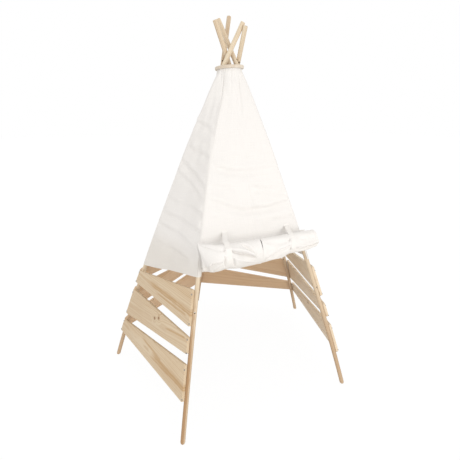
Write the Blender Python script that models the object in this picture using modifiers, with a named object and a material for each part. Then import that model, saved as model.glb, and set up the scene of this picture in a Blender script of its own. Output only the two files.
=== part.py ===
"""Wooden play tent.

Five long bowed poles cross inside a hoop. Three tapered boards close each of four sides,
and a canvas cover hangs on the poles above them, with both leaves of its door rolled up.
Lengths are in metres, +Z is up and the door faces -Y.
"""

import math
from collections import namedtuple

import bmesh
import bpy
from mathutils import Matrix, Vector

# Stance: where the feet stand, and the upright axis of the hoop
DOOR_WIDTH = 1.044
SIDE_WIDTH = 0.884
DEPTH = 1.3265
FRONT_TO_HOOP = 0.605

# Poles
POLE_RADIUS = 0.0125
POLE_BOW = 0.045
POLE_SIDES = 16
POLE_STEPS = 12
FOOT_FLAT_RADIUS = 0.006
TIP_EASE = 0.0015
TIE_HOLE_RADIUS = 0.004
TOP_HOLE_ABOVE_HOOP = 0.018
FRONT_HOLE_HEIGHT = 0.628
SIDE_HOLE_HEIGHT = 0.538

# Boards: the widths of their two ends and the gaps are measured along the pole
BOARD_BOTTOM = 0.2035
BOARD_WIDE_END = 0.192
BOARD_NARROW_END = 0.087
BOARD_GAP = 0.053
BOARD_THICKNESS = 0.016
BOARD_OVERHANG = 0.002
BOARD_CORNER = 0.009
BOARD_EASE = 0.0015

# Hoop round the top of the cover
HOOP_HEIGHT = 1.857
HOOP_THICKNESS = 0.016
HOOP_OUTER_RADIUS = 0.079
HOOP_EASE = 0.004
HOOP_STEPS = 32

# Pole tips: across from the hoop's middle, and up from its underside
FRONT_LEFT_TIP = Vector((0.0645, 0.1544, HOOP_HEIGHT + 0.287))
FRONT_RIGHT_TIP = Vector((-0.0404, 0.0617, HOOP_HEIGHT + 0.2445))
RIGHT_TIP = Vector((-0.0963, -0.0309, HOOP_HEIGHT + 0.2162))
BACK_TIP = Vector((0.0561, -0.0806, HOOP_HEIGHT + 0.193))
LEFT_TIP = Vector((0.0521, -0.0592, HOOP_HEIGHT + 0.2135))

# Canvas cover
CLOTH = 0.0016
HEM_AT_WIDE_END = 0.803
HEM_AT_NARROW_END = 0.694
COVER_ABOVE_HOOP_BASE = 0.009
COVER_TOP_RADIUS = 0.0665
COVER_TOP_SLOPE = 0.12
COVER_SAG = 0.012
COVER_FOLD = 0.005
COVER_WRINKLE = 0.003
COVER_GATHER = 0.0045
COVER_COLUMNS = 10
COVER_LEVEL = 1.05
COVER_ROWS_ABOVE = 11
SIDE_ROWS_BELOW = 4
FRONT_ROWS_BELOW = 1
COVER_EDGE_STEPS = (0.0045, 0.0095, 0.018)
SEAM_GAP = 0.0006

# Where the cloth changes, as (lower, upper) distances below the hoop
CLOTH_LOOSENS = (0.657, 0.407)
CLOTH_DRAWS_IN = (0.087, 0.007)
SEAMS_EVEN_OUT = (0.657, 0.007)
SAG_ENDS = (0.657, 0.357)

# Door leaves, rolled up and tied: places along the door are from its middle, to the right
DOOR_HINGE_HEIGHT = 0.975
ROLL_TOP_RISE = 0.026
ROLL_SAG = 0.003
ROLL_LEFT_END = -0.292
ROLL_SPLIT = 0.02
ROLL_RIGHT_END = 0.36
ROLL_LEFT_RADIUS = 0.080
ROLL_RIGHT_RADIUS = 0.057
ROLL_SPLIT_GAP = 0.005
ROLL_FOLD = 0.0035
ROLL_END_FLATNESS = 0.45
ROLL_END_LENGTH = 0.1
ROLL_SIDES = 30
ROLL_STEPS = 10
TIE_WIDTH = 0.026
TIE_THICKNESS = 0.0014
TIE_PINCH = 0.004
TIE_CLEARANCE = 0.0007
TIE_FIRST_SIDE = 3
TIE_LAST_SIDE = 25
LEFT_TIE = -0.176
RIGHT_TIE = 0.204

CONTACT_GAP = 0.0004
FOLD_GAP = 0.0014

Pole = namedtuple("Pole", "name foot tip outward hole_height")
Side = namedtuple("Side", "name wide narrow")


def smooth(low, high, value):
    """0 below low, 1 above high, and an even rise between them."""
    share = min(max((value - low) / (high - low), 0.0), 1.0)
    return share * share * (3 - 2 * share)


# The stance

def side_foot():
    """The left pole's foot, one side width from the front and back feet."""
    front = Vector((-DOOR_WIDTH / 2, -FRONT_TO_HOOP))
    back = Vector((0, DEPTH - FRONT_TO_HOOP))
    chord = back - front
    across = Vector((-chord.y, chord.x)).normalized()
    offset = math.sqrt(SIDE_WIDTH ** 2 - (chord.length / 2) ** 2)
    return (front + back) / 2 + across * offset


def make_pole(name, foot, tip, hole_height):
    return Pole(name, foot, tip, foot.normalized(), hole_height)


def stance():
    side = side_foot()
    front_y = -FRONT_TO_HOOP
    feet = {
        "front_left": Vector((-DOOR_WIDTH / 2, front_y, 0)),
        "front_right": Vector((DOOR_WIDTH / 2, front_y, 0)),
        "right": Vector((-side.x, side.y, 0)),
        "back": Vector((0, DEPTH - FRONT_TO_HOOP, 0)),
        "left": Vector((side.x, side.y, 0)),
    }
    return {
        "front_left": make_pole("front_left", feet["front_left"], FRONT_LEFT_TIP, FRONT_HOLE_HEIGHT),
        "front_right": make_pole("front_right", feet["front_right"], FRONT_RIGHT_TIP, FRONT_HOLE_HEIGHT),
        "right": make_pole("right", feet["right"], RIGHT_TIP, SIDE_HOLE_HEIGHT),
        "back": make_pole("back", feet["back"], BACK_TIP, FRONT_HOLE_HEIGHT),
        "left": make_pole("left", feet["left"], LEFT_TIP, SIDE_HOLE_HEIGHT),
    }


def axis_point(pole, height):
    """A point on the bowed centre line of a pole."""
    share = height / pole.tip.z
    return pole.foot.lerp(pole.tip, share) + pole.outward * POLE_BOW * 4 * share * (1 - share)


def axis_direction(pole, height):
    """The upward direction of a pole's centre line."""
    step = 0.001
    return (axis_point(pole, height + step) - axis_point(pole, height - step)).normalized()


def height_after(pole, height, length):
    """The height that is a length further up along the pole."""
    return height + length * axis_direction(pole, height + length / 2).z


# Making objects

def add_object(name, mesh, collection, material=None):
    obj = bpy.data.objects.new(name, mesh)
    collection.objects.link(obj)
    if material:
        mesh.materials.append(material)
    return obj


def mesh_from(bm, name):
    mesh = bpy.data.meshes.new(name)
    bm.to_mesh(mesh)
    bm.free()
    return mesh


def shade(obj, angle=math.radians(35)):
    obj.data.shade_smooth()
    obj.data.set_sharp_from_angle(angle=angle)


def add_bevel(obj, width, segments=1):
    bevel = obj.modifiers.new("Eased edges", "BEVEL")
    bevel.width = width
    bevel.segments = segments
    bevel.limit_method = "ANGLE"
    bevel.angle_limit = math.radians(50)
    return bevel


def new_material(name, colour, roughness):
    material = bpy.data.materials.new(name)
    material.use_nodes = True
    shader = material.node_tree.nodes["Principled BSDF"]
    shader.inputs["Base Color"].default_value = (*colour, 1)
    shader.inputs["Roughness"].default_value = roughness
    shader.inputs["Metallic"].default_value = 0
    material.diffuse_color = (*colour, 1)
    return material


def boolean_cut(obj, cutter):
    cut = obj.modifiers.new("Cut " + cutter.name, "BOOLEAN")
    cut.operation = "DIFFERENCE"
    cut.solver = "EXACT"
    cut.object = cutter


# Poles

def pole_stations(pole):
    """Centre points and radii from the rounded foot to the eased tip."""
    ball_height = math.sqrt(POLE_RADIUS ** 2 - FOOT_FLAT_RADIUS ** 2)
    ball = axis_point(pole, ball_height)
    down = -axis_direction(pole, ball_height)
    stations = []
    for angle in (15, 35, 55, 75, 90):
        turn = math.radians(angle)
        stations.append((ball + down * POLE_RADIUS * math.cos(turn), math.sin(turn)))
    for step in range(1, POLE_STEPS + 1):
        height = ball_height + (pole.tip.z - ball_height) * step / POLE_STEPS
        stations.append((axis_point(pole, height), 1.0))
    tip = stations.pop()[0]
    up = axis_direction(pole, pole.tip.z)
    stations.append((tip - up * TIP_EASE, 1.0))
    stations.append((tip, 1 - TIP_EASE / POLE_RADIUS))
    return stations


def curve_mesh(name, stations, radius, collection):
    """A round bar along the stations, as a closed mesh."""
    curve = bpy.data.curves.new(name, "CURVE")
    curve.dimensions = "3D"
    curve.bevel_depth = radius
    curve.bevel_resolution = (POLE_SIDES - 4) // 2
    curve.use_fill_caps = True
    spline = curve.splines.new("POLY")
    spline.points.add(len(stations) - 1)
    for point, (centre, share) in zip(spline.points, stations):
        point.co = (*centre, 1)
        point.radius = share
    obj = bpy.data.objects.new(name, curve)
    collection.objects.link(obj)
    bpy.context.view_layer.update()
    graph = bpy.context.evaluated_depsgraph_get()
    mesh = bpy.data.meshes.new_from_object(obj.evaluated_get(graph))
    bpy.data.objects.remove(obj)
    bm = bmesh.new()
    bm.from_mesh(mesh)
    bmesh.ops.remove_doubles(bm, verts=bm.verts, dist=0.00001)
    bm.to_mesh(mesh)
    bm.free()
    mesh.name = name
    return mesh


def flatten_foot(mesh):
    """Cuts the rounded foot level with the floor."""
    bm = bmesh.new()
    bm.from_mesh(mesh)
    cut = bmesh.ops.bisect_plane(
        bm,
        geom=bm.verts[:] + bm.edges[:] + bm.faces[:],
        plane_co=(0, 0, 0),
        plane_no=(0, 0, -1),
        clear_outer=True,
    )
    rim = [item for item in cut["geom_cut"] if isinstance(item, bmesh.types.BMEdge)]
    bmesh.ops.holes_fill(bm, edges=rim, sides=0)
    bmesh.ops.recalc_face_normals(bm, faces=bm.faces)
    bm.to_mesh(mesh)
    bm.free()


def hole_cutter(pole, height, suffix, cutters):
    """A radial drill through the pole at a height."""
    bm = bmesh.new()
    bmesh.ops.create_cone(
        bm,
        cap_ends=True,
        segments=12,
        radius1=TIE_HOLE_RADIUS,
        radius2=TIE_HOLE_RADIUS,
        depth=4 * POLE_RADIUS,
    )
    cutter = add_object(f"{pole.name}_{suffix}", mesh_from(bm, suffix), cutters)
    rise = axis_direction(pole, height)
    square = pole.outward - rise * pole.outward.dot(rise)
    turn = square.to_track_quat("Z", "Y").to_matrix().to_4x4()
    cutter.matrix_world = Matrix.Translation(axis_point(pole, height)) @ turn
    cutter.hide_render = True
    cutter.display_type = "WIRE"
    return cutter


def add_pole(pole, collection, cutters, material):
    name = f"{pole.name}_pole"
    mesh = curve_mesh(name, pole_stations(pole), POLE_RADIUS, collection)
    flatten_foot(mesh)
    mesh.materials.clear()
    obj = add_object(name, mesh, collection, material)
    shade(obj)
    boolean_cut(obj, hole_cutter(pole, pole.hole_height, "lower_hole", cutters))
    top_hole = HOOP_HEIGHT + HOOP_THICKNESS + TOP_HOLE_ABOVE_HOOP
    boolean_cut(obj, hole_cutter(pole, top_hole, "top_hole", cutters))
    return obj


# Boards

def board_heights(pole, widths):
    """The lower and upper height of each board's end along a pole, bottom board first."""
    heights = []
    low = BOARD_BOTTOM
    for width in widths:
        high = height_after(pole, low, width)
        heights.append((low, high))
        low = height_after(pole, high, BOARD_GAP)
    return heights


def add_board(name, wide, wide_heights, narrow, narrow_heights, collection, material):
    """A flat board on the outside of two poles, with its ends cut parallel to them."""
    wide_low, wide_high = (axis_point(wide, height) for height in wide_heights)
    narrow_low, narrow_high = (axis_point(narrow, height) for height in narrow_heights)
    normal = (wide_high - narrow_low).cross(narrow_high - wide_low).normalized()
    middle = (wide_low + wide_high + narrow_low + narrow_high) / 4
    if normal.dot(Vector((middle.x, middle.y, 0))) < 0:
        normal.negate()
    samples = []
    for pole, (low, high) in ((wide, wide_heights), (narrow, narrow_heights)):
        samples += [axis_point(pole, low + (high - low) * step / 6) for step in range(7)]
    inner = max(normal.dot(point) for point in samples) + POLE_RADIUS + CONTACT_GAP
    along = (wide_low - narrow_low).normalized()
    corners = [
        narrow_low - along * BOARD_OVERHANG,
        wide_low + along * BOARD_OVERHANG,
        wide_high + along * BOARD_OVERHANG,
        narrow_high - along * BOARD_OVERHANG,
    ]
    bm = bmesh.new()
    rim = [bm.verts.new(point + normal * (inner - normal.dot(point))) for point in corners]
    bm.faces.new(rim)
    bmesh.ops.bevel(
        bm,
        geom=bm.verts[:],
        offset=BOARD_CORNER,
        offset_type="OFFSET",
        segments=3,
        profile=0.5,
        affect="VERTICES",
    )
    face = bm.faces[:][0]
    raised = bmesh.ops.extrude_face_region(bm, geom=[face])
    moved = [item for item in raised["geom"] if isinstance(item, bmesh.types.BMVert)]
    bmesh.ops.translate(bm, verts=moved, vec=normal * BOARD_THICKNESS)
    bmesh.ops.recalc_face_normals(bm, faces=bm.faces)
    obj = add_object(name, mesh_from(bm, name), collection, material)
    add_bevel(obj, BOARD_EASE)
    return obj


def add_side(side, collection, material):
    """Three tapered boards, each turned the other way up from the one below."""
    wide_ends = (BOARD_WIDE_END, BOARD_NARROW_END, BOARD_WIDE_END)
    narrow_ends = (BOARD_NARROW_END, BOARD_WIDE_END, BOARD_NARROW_END)
    wide_heights = board_heights(side.wide, wide_ends)
    narrow_heights = board_heights(side.narrow, narrow_ends)
    boards = []
    for place, wide_pair, narrow_pair in zip(("bottom", "middle", "top"), wide_heights, narrow_heights):
        name = f"{side.name}_board_{place}"
        boards.append(add_board(name, side.wide, wide_pair, side.narrow, narrow_pair, collection, material))
    return boards


# Hoop

def change_below_hoop(distances, height):
    """0 at the lower distance below the hoop and under it, and 1 at the upper one and above."""
    lower, upper = distances
    return smooth(HOOP_HEIGHT - lower, HOOP_HEIGHT - upper, height)


def cover_top():
    return HOOP_HEIGHT + COVER_ABOVE_HOOP_BASE


def hoop_bore():
    """The hoop sits on the cover, so its bore follows the cloth's outer face there."""
    cloth_radius = COVER_TOP_RADIUS + COVER_TOP_SLOPE * COVER_ABOVE_HOOP_BASE
    return (cloth_radius + CLOTH + CONTACT_GAP) / math.cos(math.pi / HOOP_STEPS)


def add_hoop(collection, material):
    inner = hoop_bore()
    ease = min(HOOP_EASE, (HOOP_OUTER_RADIUS - inner) * 0.4)
    low = HOOP_HEIGHT
    high = HOOP_HEIGHT + HOOP_THICKNESS
    profile = [
        (HOOP_OUTER_RADIUS, high - ease),
        (HOOP_OUTER_RADIUS, low + ease),
        (HOOP_OUTER_RADIUS - ease * 0.3, low + ease * 0.3),
        (HOOP_OUTER_RADIUS - ease, low),
        (inner, low),
        (inner, high - ease),
        (inner + ease * 0.3, high - ease * 0.3),
        (inner + ease, high),
        (HOOP_OUTER_RADIUS - ease, high),
        (HOOP_OUTER_RADIUS - ease * 0.3, high - ease * 0.3),
    ]
    bm = bmesh.new()
    rim = [bm.verts.new((radius, 0, height)) for radius, height in profile]
    for start, end in zip(rim, rim[1:] + rim[:1]):
        bm.edges.new((start, end))
    obj = add_object("top_hoop", mesh_from(bm, "top_hoop"), collection, material)
    screw = obj.modifiers.new("Turned ring", "SCREW")
    screw.steps = HOOP_STEPS
    screw.render_steps = HOOP_STEPS
    screw.use_merge_vertices = True
    screw.merge_threshold = 0.00001
    screw.use_smooth_shade = True
    return obj


# Cover

def convex_outline(points):
    """The points' convex outline, anticlockwise."""
    points = sorted(points)

    def half(ordered):
        chain = []
        for point in ordered:
            while len(chain) > 1:
                (ax, ay), (bx, by) = chain[-2], chain[-1]
                if (bx - ax) * (point[1] - ay) - (by - ay) * (point[0] - ax) > 0:
                    break
                chain.pop()
            chain.append(point)
        return chain

    lower = half(points)
    upper = half(reversed(points))
    return lower[:-1] + upper[:-1]


def cloth_slack(height):
    """The cloth's distance from the poles, looser where it gathers near the hoop."""
    loose = change_below_hoop(CLOTH_LOOSENS, height) - change_below_hoop(CLOTH_DRAWS_IN, height)
    return CONTACT_GAP + COVER_GATHER * loose


def taut_outline(poles, height):
    """The outline of a band pulled tight round the poles at a height."""
    turns = 24
    points = []
    for pole in poles.values():
        centre = axis_point(pole, height)
        radius = POLE_RADIUS / axis_direction(pole, height).z + cloth_slack(height)
        reach = radius / math.cos(math.pi / turns)
        for turn in range(turns):
            angle = 2 * math.pi * turn / turns
            points.append((centre.x + reach * math.cos(angle), centre.y + reach * math.sin(angle)))
    return convex_outline(points)


def outline_reach(outline, angle):
    """The distance from the tent's axis to an outline in a direction."""
    dx, dy = math.cos(angle), math.sin(angle)
    best = 0.0
    for (ax, ay), (bx, by) in zip(outline, outline[1:] + outline[:1]):
        start = ax * dy - ay * dx
        end = bx * dy - by * dx
        if (start > 0) == (end > 0):
            continue
        share = start / (start - end)
        x, y = ax + (bx - ax) * share, ay + (by - ay) * share
        best = max(best, x * dx + y * dy)
    return best


def seam_angle(pole, height):
    """Seams follow the poles and even out where the cloth gathers."""
    point = axis_point(pole, height)
    over_pole = math.atan2(point.y, point.x)
    even = math.atan2(pole.foot.y, pole.foot.x)
    turn = math.remainder(even - over_pole, 2 * math.pi)
    return over_pole + turn * change_below_hoop(SEAMS_EVEN_OUT, height)


def cloth_drop(across, height, low, held_straight):
    """How far the cloth falls in from the taut outline: its sag and main folds."""
    rise = (height - low) / (cover_top() - low)
    belly = math.sin(math.pi * across) ** 2 * (1 - change_below_hoop(SAG_ENDS, height))
    if held_straight:
        belly *= smooth(0, 0.15, height - low)
    fold = 0.5 + 0.5 * math.cos(2 * math.pi * (2.5 * across + 0.4 * rise))
    wrinkle = 0.5 + 0.5 * math.sin(2 * math.pi * (5 * rise + 0.5 * math.sin(2 * math.pi * across)))
    return belly * (COVER_SAG + COVER_FOLD * fold + COVER_WRINKLE * wrinkle)


def panel_shares(first_reach, second_reach, span):
    """Where the panel's columns stand, from 0 at its first seam to 1 at its second."""
    first = [step / first_reach / span for step in (SEAM_GAP / 2,) + COVER_EDGE_STEPS]
    second = [1 - step / second_reach / span for step in (SEAM_GAP / 2,) + COVER_EDGE_STEPS]
    width = second[-1] - first[-1]
    middle = [first[-1] + width * step / COVER_COLUMNS for step in range(1, COVER_COLUMNS)]
    return first + middle + second[::-1]


def panel_height(row, rows_below, hem):
    """Rows share their heights above one level, so that both sides of a seam follow one line."""
    if row < rows_below:
        return hem + (COVER_LEVEL - hem) * row / rows_below
    share = (row - rows_below) / COVER_ROWS_ABOVE
    if share > 1:
        return cover_top()
    return COVER_LEVEL + (HOOP_HEIGHT - 0.002 - COVER_LEVEL) * (1 - (1 - share) ** 1.2)


def add_panel(name, poles, first, second, first_hem, second_hem, collection, material):
    """One cloth panel, from the seam over one pole anticlockwise to the seam over the next."""
    held_straight = first_hem == second_hem
    rows_below = FRONT_ROWS_BELOW if held_straight else SIDE_ROWS_BELOW
    bm = bmesh.new()
    grid = []
    for row in range(rows_below + COVER_ROWS_ABOVE + 2):
        line = []
        for column in range(COVER_COLUMNS + 2 * len(COVER_EDGE_STEPS) + 1):
            across = column / (COVER_COLUMNS + 2 * len(COVER_EDGE_STEPS))
            for _ in range(2):
                hem = first_hem + (second_hem - first_hem) * across
                height = panel_height(row, rows_below, hem)
                outline = taut_outline(poles, height)
                start = seam_angle(poles[first], height)
                end = seam_angle(poles[second], height)
                span = (end - start) % (2 * math.pi)
                reaches = (outline_reach(outline, start), outline_reach(outline, end))
                across = panel_shares(*reaches, span)[column]
            angle = start + span * across
            cone = COVER_TOP_RADIUS + COVER_TOP_SLOPE * (cover_top() - height)
            reach = max(outline_reach(outline, angle), cone)
            reach -= cloth_drop(across, height, hem, held_straight)
            line.append(bm.verts.new((reach * math.cos(angle), reach * math.sin(angle), height)))
        grid.append(line)
    for lower, upper in zip(grid, grid[1:]):
        for column in range(len(lower) - 1):
            bm.faces.new((lower[column], lower[column + 1], upper[column + 1], upper[column]))
    obj = add_object(name, mesh_from(bm, name), collection, material)
    obj.data.shade_smooth()
    thicken = obj.modifiers.new("Cloth", "SOLIDIFY")
    thicken.thickness = CLOTH
    thicken.offset = 1
    return obj


# Door leaves

class DoorFrame:
    """The level line that the door leaves hang from, with its directions along and outward."""

    def __init__(self, poles):
        self.pair = (poles["front_left"], poles["front_right"])
        left, right = (axis_point(pole, DOOR_HINGE_HEIGHT) for pole in self.pair)
        self.along = (right - left).normalized()
        self.outward = self.along.cross(Vector((0, 0, 1)))
        self.origin = Vector((0, 0, DOOR_HINGE_HEIGHT))
        top = self.face(0, 0)
        self.origin += self.outward * top

    def face(self, along, up):
        """How far out a band pulled tight over the front poles lies."""
        ends = []
        for pole in self.pair:
            point = axis_point(pole, DOOR_HINGE_HEIGHT + up) - self.origin
            rise = axis_direction(pole, DOOR_HINGE_HEIGHT + up)
            radius = POLE_RADIUS * math.hypot(1, rise.dot(self.outward) / rise.z)
            ends.append((point.dot(self.along), point.dot(self.outward) + radius + CONTACT_GAP))
        (start, first), (end, second) = ends
        return first + (second - first) * (along - start) / (end - start)

    def slope(self, along):
        """How much further out the leaf's back lies for each length that it hangs down."""
        drop = 2 * ROLL_RIGHT_RADIUS
        return (self.face(along, -drop) - self.face(along, 0)) / drop

    def place(self, along, outward, up):
        return self.origin + self.along * along + self.outward * outward + Vector((0, 0, up))


def roll_radius(along):
    share = (along - ROLL_LEFT_END) / (ROLL_RIGHT_END - ROLL_LEFT_END)
    radius = ROLL_LEFT_RADIUS + (ROLL_RIGHT_RADIUS - ROLL_LEFT_RADIUS) * share ** 1.5
    for tie in (LEFT_TIE, RIGHT_TIE):
        radius -= TIE_PINCH * math.exp(-((along - tie) / 0.035) ** 2)
    return radius


def roll_centre(along, door):
    """(outward, up) of the roll's centre line, resting against the poles and sagging between."""
    share = (along - ROLL_LEFT_END) / (ROLL_RIGHT_END - ROLL_LEFT_END)
    up = ROLL_TOP_RISE - roll_radius(along) - ROLL_SAG * 4 * share * (1 - share)
    slope = door.slope(along)
    clear = roll_radius(along) + CLOTH + 2 * CONTACT_GAP
    outward = -up * slope + clear * math.sqrt(1 + slope ** 2)
    return outward, up


def roll_depth(along):
    """The roll's depth as a share of its round section's, less at its slack left end."""
    share = min(1.0, (along - ROLL_LEFT_END) / ROLL_END_LENGTH)
    return 1 - ROLL_END_FLATNESS * (1 - share) ** 2


def roll_outline(along, door, swell=0.0):
    """The rolled cloth's outline as (outward, up), from its back over its top to its front."""
    outward, up = roll_centre(along, door)
    slope = door.slope(along)
    behind = (CLOTH + 2 * CONTACT_GAP) * math.sqrt(1 + slope ** 2)
    points = []
    for side in range(ROLL_SIDES):
        angle = 2 * math.pi * side / ROLL_SIDES
        ripple = 0.5 - 0.5 * math.cos(3 * angle + 9 * along)
        front = 0.5 - 0.5 * math.cos(angle)
        radius = roll_radius(along) - ROLL_FOLD * ripple * front + swell
        turn = math.pi - math.atan(slope) - angle
        height = up + radius * math.sin(turn)
        back = behind - height * slope
        points.append((back + (outward + radius * math.cos(turn) - back) * roll_depth(along), height))
    return points


def loft(name, rings, collection, material):
    """A closed solid through rings of equally many points."""
    bm = bmesh.new()
    loops = [[bm.verts.new(point) for point in ring] for ring in rings]
    for before, after in zip(loops, loops[1:]):
        count = len(before)
        for index in range(count):
            following = (index + 1) % count
            bm.faces.new((before[index], before[following], after[following], after[index]))
    bm.faces.new(loops[0])
    bm.faces.new(loops[-1])
    bmesh.ops.recalc_face_normals(bm, faces=bm.faces)
    obj = add_object(name, mesh_from(bm, name), collection, material)
    shade(obj, math.radians(50))
    return obj


def stations_between(start, end, tie):
    """Places along a leaf, closer together beside its tie."""
    even = [start + (end - start) * step / (ROLL_STEPS - 1) for step in range(ROLL_STEPS)]
    near = [tie - 0.028, tie - TIE_WIDTH / 2, tie + TIE_WIDTH / 2, tie + 0.028]
    kept = [place for place in even if abs(place - tie) > 0.036 or place in (start, end)]
    return sorted(kept + near)


def add_roll(name, start, end, tie, door, collection, material):
    """A rolled leaf and the short tail of cloth that it hangs from."""
    rings = []
    for along in stations_between(start, end, tie):
        outline = roll_outline(along, door)
        back_outward, back_up = outline[0]
        slope = door.slope(along)
        tail = CLOTH * math.sqrt(1 + slope ** 2)
        section = outline[1:] + outline[:1]
        section += [
            (-back_up * slope, back_up),
            (0.0, 0.0),
            (tail, 0.0),
            (-(back_up + 0.012) * slope + tail, back_up + 0.012),
        ]
        rings.append([door.place(along, outward, up) for outward, up in section])
    return loft(name, rings, collection, material)


def add_tie(name, along, door, collection, material):
    """A cotton tape, from behind the roll over its front and under it."""
    rings = []
    for place in (along - TIE_WIDTH / 2, along + TIE_WIDTH / 2):
        under = roll_outline(place, door, TIE_CLEARANCE)[TIE_FIRST_SIDE:TIE_LAST_SIDE]
        over = roll_outline(place, door, TIE_CLEARANCE + TIE_THICKNESS)[TIE_FIRST_SIDE:TIE_LAST_SIDE]
        rings.append([door.place(place, outward, up) for outward, up in under + over[::-1]])
    return loft(name, rings, collection, material)


def centre_on_floor(objects):
    """Moves the tent so that the origin is the middle of its box on the floor."""
    bpy.context.view_layer.update()
    graph = bpy.context.evaluated_depsgraph_get()
    corners = []
    for obj in objects:
        mesh = obj.evaluated_get(graph).to_mesh()
        corners += [obj.matrix_world @ vertex.co for vertex in mesh.vertices]
        obj.evaluated_get(graph).to_mesh_clear()
    low_x, high_x = min(point.x for point in corners), max(point.x for point in corners)
    low_y, high_y = min(point.y for point in corners), max(point.y for point in corners)
    return Vector((-(low_x + high_x) / 2, -(low_y + high_y) / 2, 0))


def main():
    for obj in list(bpy.data.objects):
        bpy.data.objects.remove(obj)
    tent = bpy.data.collections.new("wooden_play_tent")
    cutters = bpy.data.collections.new("cutters")
    bpy.context.scene.collection.children.link(tent)
    bpy.context.scene.collection.children.link(cutters)
    cutters.hide_render = True

    pole_wood = new_material("Pale pine pole", (0.80, 0.65, 0.44), 0.55)
    board_wood = new_material("Pine board", (0.65, 0.51, 0.33), 0.6)
    hoop_wood = new_material("Turned hoop", (0.60, 0.46, 0.30), 0.5)
    canvas = new_material("Cotton canvas", (0.86, 0.83, 0.78), 0.9)
    tape = new_material("Cotton tape", (0.90, 0.88, 0.83), 0.9)

    poles = stance()
    parts = [add_pole(pole, tent, cutters, pole_wood) for pole in poles.values()]
    sides = (
        Side("left", poles["front_left"], poles["left"]),
        Side("back_left", poles["back"], poles["left"]),
        Side("back_right", poles["back"], poles["right"]),
        Side("right", poles["front_right"], poles["right"]),
    )
    for side in sides:
        parts += add_side(side, tent, board_wood)
    parts.append(add_hoop(tent, hoop_wood))

    wide, narrow = HEM_AT_WIDE_END, HEM_AT_NARROW_END
    front_hem = DOOR_HINGE_HEIGHT + FOLD_GAP
    panels = (
        ("cover_front", "front_left", "front_right", front_hem, front_hem),
        ("cover_right", "front_right", "right", wide, narrow),
        ("cover_back_right", "right", "back", narrow, wide),
        ("cover_back_left", "back", "left", wide, narrow),
        ("cover_left", "left", "front_left", narrow, wide),
    )
    for name, first, second, first_hem, second_hem in panels:
        parts.append(add_panel(name, poles, first, second, first_hem, second_hem, tent, canvas))

    door = DoorFrame(poles)
    split = ROLL_SPLIT_GAP / 2
    rolls = [
        add_roll("door_roll_left", ROLL_LEFT_END, ROLL_SPLIT - split, LEFT_TIE, door, tent, canvas),
        add_roll("door_roll_right", ROLL_SPLIT + split, ROLL_RIGHT_END, RIGHT_TIE, door, tent, canvas),
        add_tie("door_tie_left", LEFT_TIE, door, tent, tape),
        add_tie("door_tie_right", RIGHT_TIE, door, tent, tape),
    ]
    parts += rolls

    shift = centre_on_floor(parts)
    for obj in parts:
        obj.location += shift


main()
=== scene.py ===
"""Dresses a wooden play tent: pine poles and boards, screws, a turned hoop and a canvas cover."""

import math

import bmesh
import bpy
import numpy as np
from bpy.props import FloatProperty, FloatVectorProperty, PointerProperty
from mathutils import Matrix, Vector


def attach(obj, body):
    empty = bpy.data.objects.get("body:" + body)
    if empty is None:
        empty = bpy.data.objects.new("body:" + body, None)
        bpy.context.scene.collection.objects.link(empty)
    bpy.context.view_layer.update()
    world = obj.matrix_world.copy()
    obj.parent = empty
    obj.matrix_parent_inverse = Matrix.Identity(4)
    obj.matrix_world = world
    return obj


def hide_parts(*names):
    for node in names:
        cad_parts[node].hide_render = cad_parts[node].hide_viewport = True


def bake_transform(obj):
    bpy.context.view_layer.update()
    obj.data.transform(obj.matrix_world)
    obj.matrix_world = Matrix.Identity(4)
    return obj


bl_info = {
    "name": "Wooden Play Tent",
    "version": (1, 0, 0),
    "blender": (4, 5, 0),
    "location": "3D View > Sidebar > Play Tent",
    "description": "Pine poles and boards, screws, hoop, canvas cover and rolled door of a play tent",
    "category": "Add Mesh",
}

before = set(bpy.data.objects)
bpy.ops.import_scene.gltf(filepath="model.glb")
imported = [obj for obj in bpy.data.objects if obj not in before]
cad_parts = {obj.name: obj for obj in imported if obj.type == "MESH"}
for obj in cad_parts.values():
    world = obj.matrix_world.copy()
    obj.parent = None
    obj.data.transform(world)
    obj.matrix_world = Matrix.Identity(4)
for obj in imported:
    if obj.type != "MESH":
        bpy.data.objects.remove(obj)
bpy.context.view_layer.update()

FULL_TURN = 2 * math.pi

# The frame's sizes, in metres, as its parts have them
TENT_SHIFT = np.array((0.0001, -0.0580, 0.0))
POLE_RADIUS = 0.0125
POLE_BOW = 0.045
FOOT_FLAT_RADIUS = 0.006
HOLE_RADIUS = 0.004
TOP_HOLE_HEIGHT = 1.891
BOARD_BOTTOM = 0.2035
BOARD_WIDE_END = 0.192
BOARD_NARROW_END = 0.087
BOARD_GAP = 0.053
BOARD_THICKNESS = 0.016
BOARD_OVERHANG = 0.002
BOARD_CORNER = 0.009
CONTACT_GAP = 0.0004
HOOP_HEIGHT = 1.857
HOOP_THICKNESS = 0.016
HOOP_OUTER_RADIUS = 0.079
HOOP_BORE_RADIUS = 0.0697
COVER_TOP_RADIUS = 0.0665
COVER_TOP_SLOPE = 0.12
COVER_GATHER = 0.0045
HEM_AT_WIDE_END = 0.803
HEM_AT_NARROW_END = 0.694
SEAM_GAP = 0.0006
HINGE_HEIGHT = 0.975
ROLL_TOP_RISE = 0.026
ROLL_SAG = 0.003
ROLL_LEFT_END = -0.292
ROLL_SPLIT = 0.02
ROLL_RIGHT_END = 0.36
ROLL_LEFT_RADIUS = 0.080
ROLL_RIGHT_RADIUS = 0.057
ROLL_FOLD = 0.0035
ROLL_END_LENGTH = 0.1
TIE_PINCH = 0.004
LEFT_TIE = -0.176
RIGHT_TIE = 0.204
CAD_CLOTH = 0.0016

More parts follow.
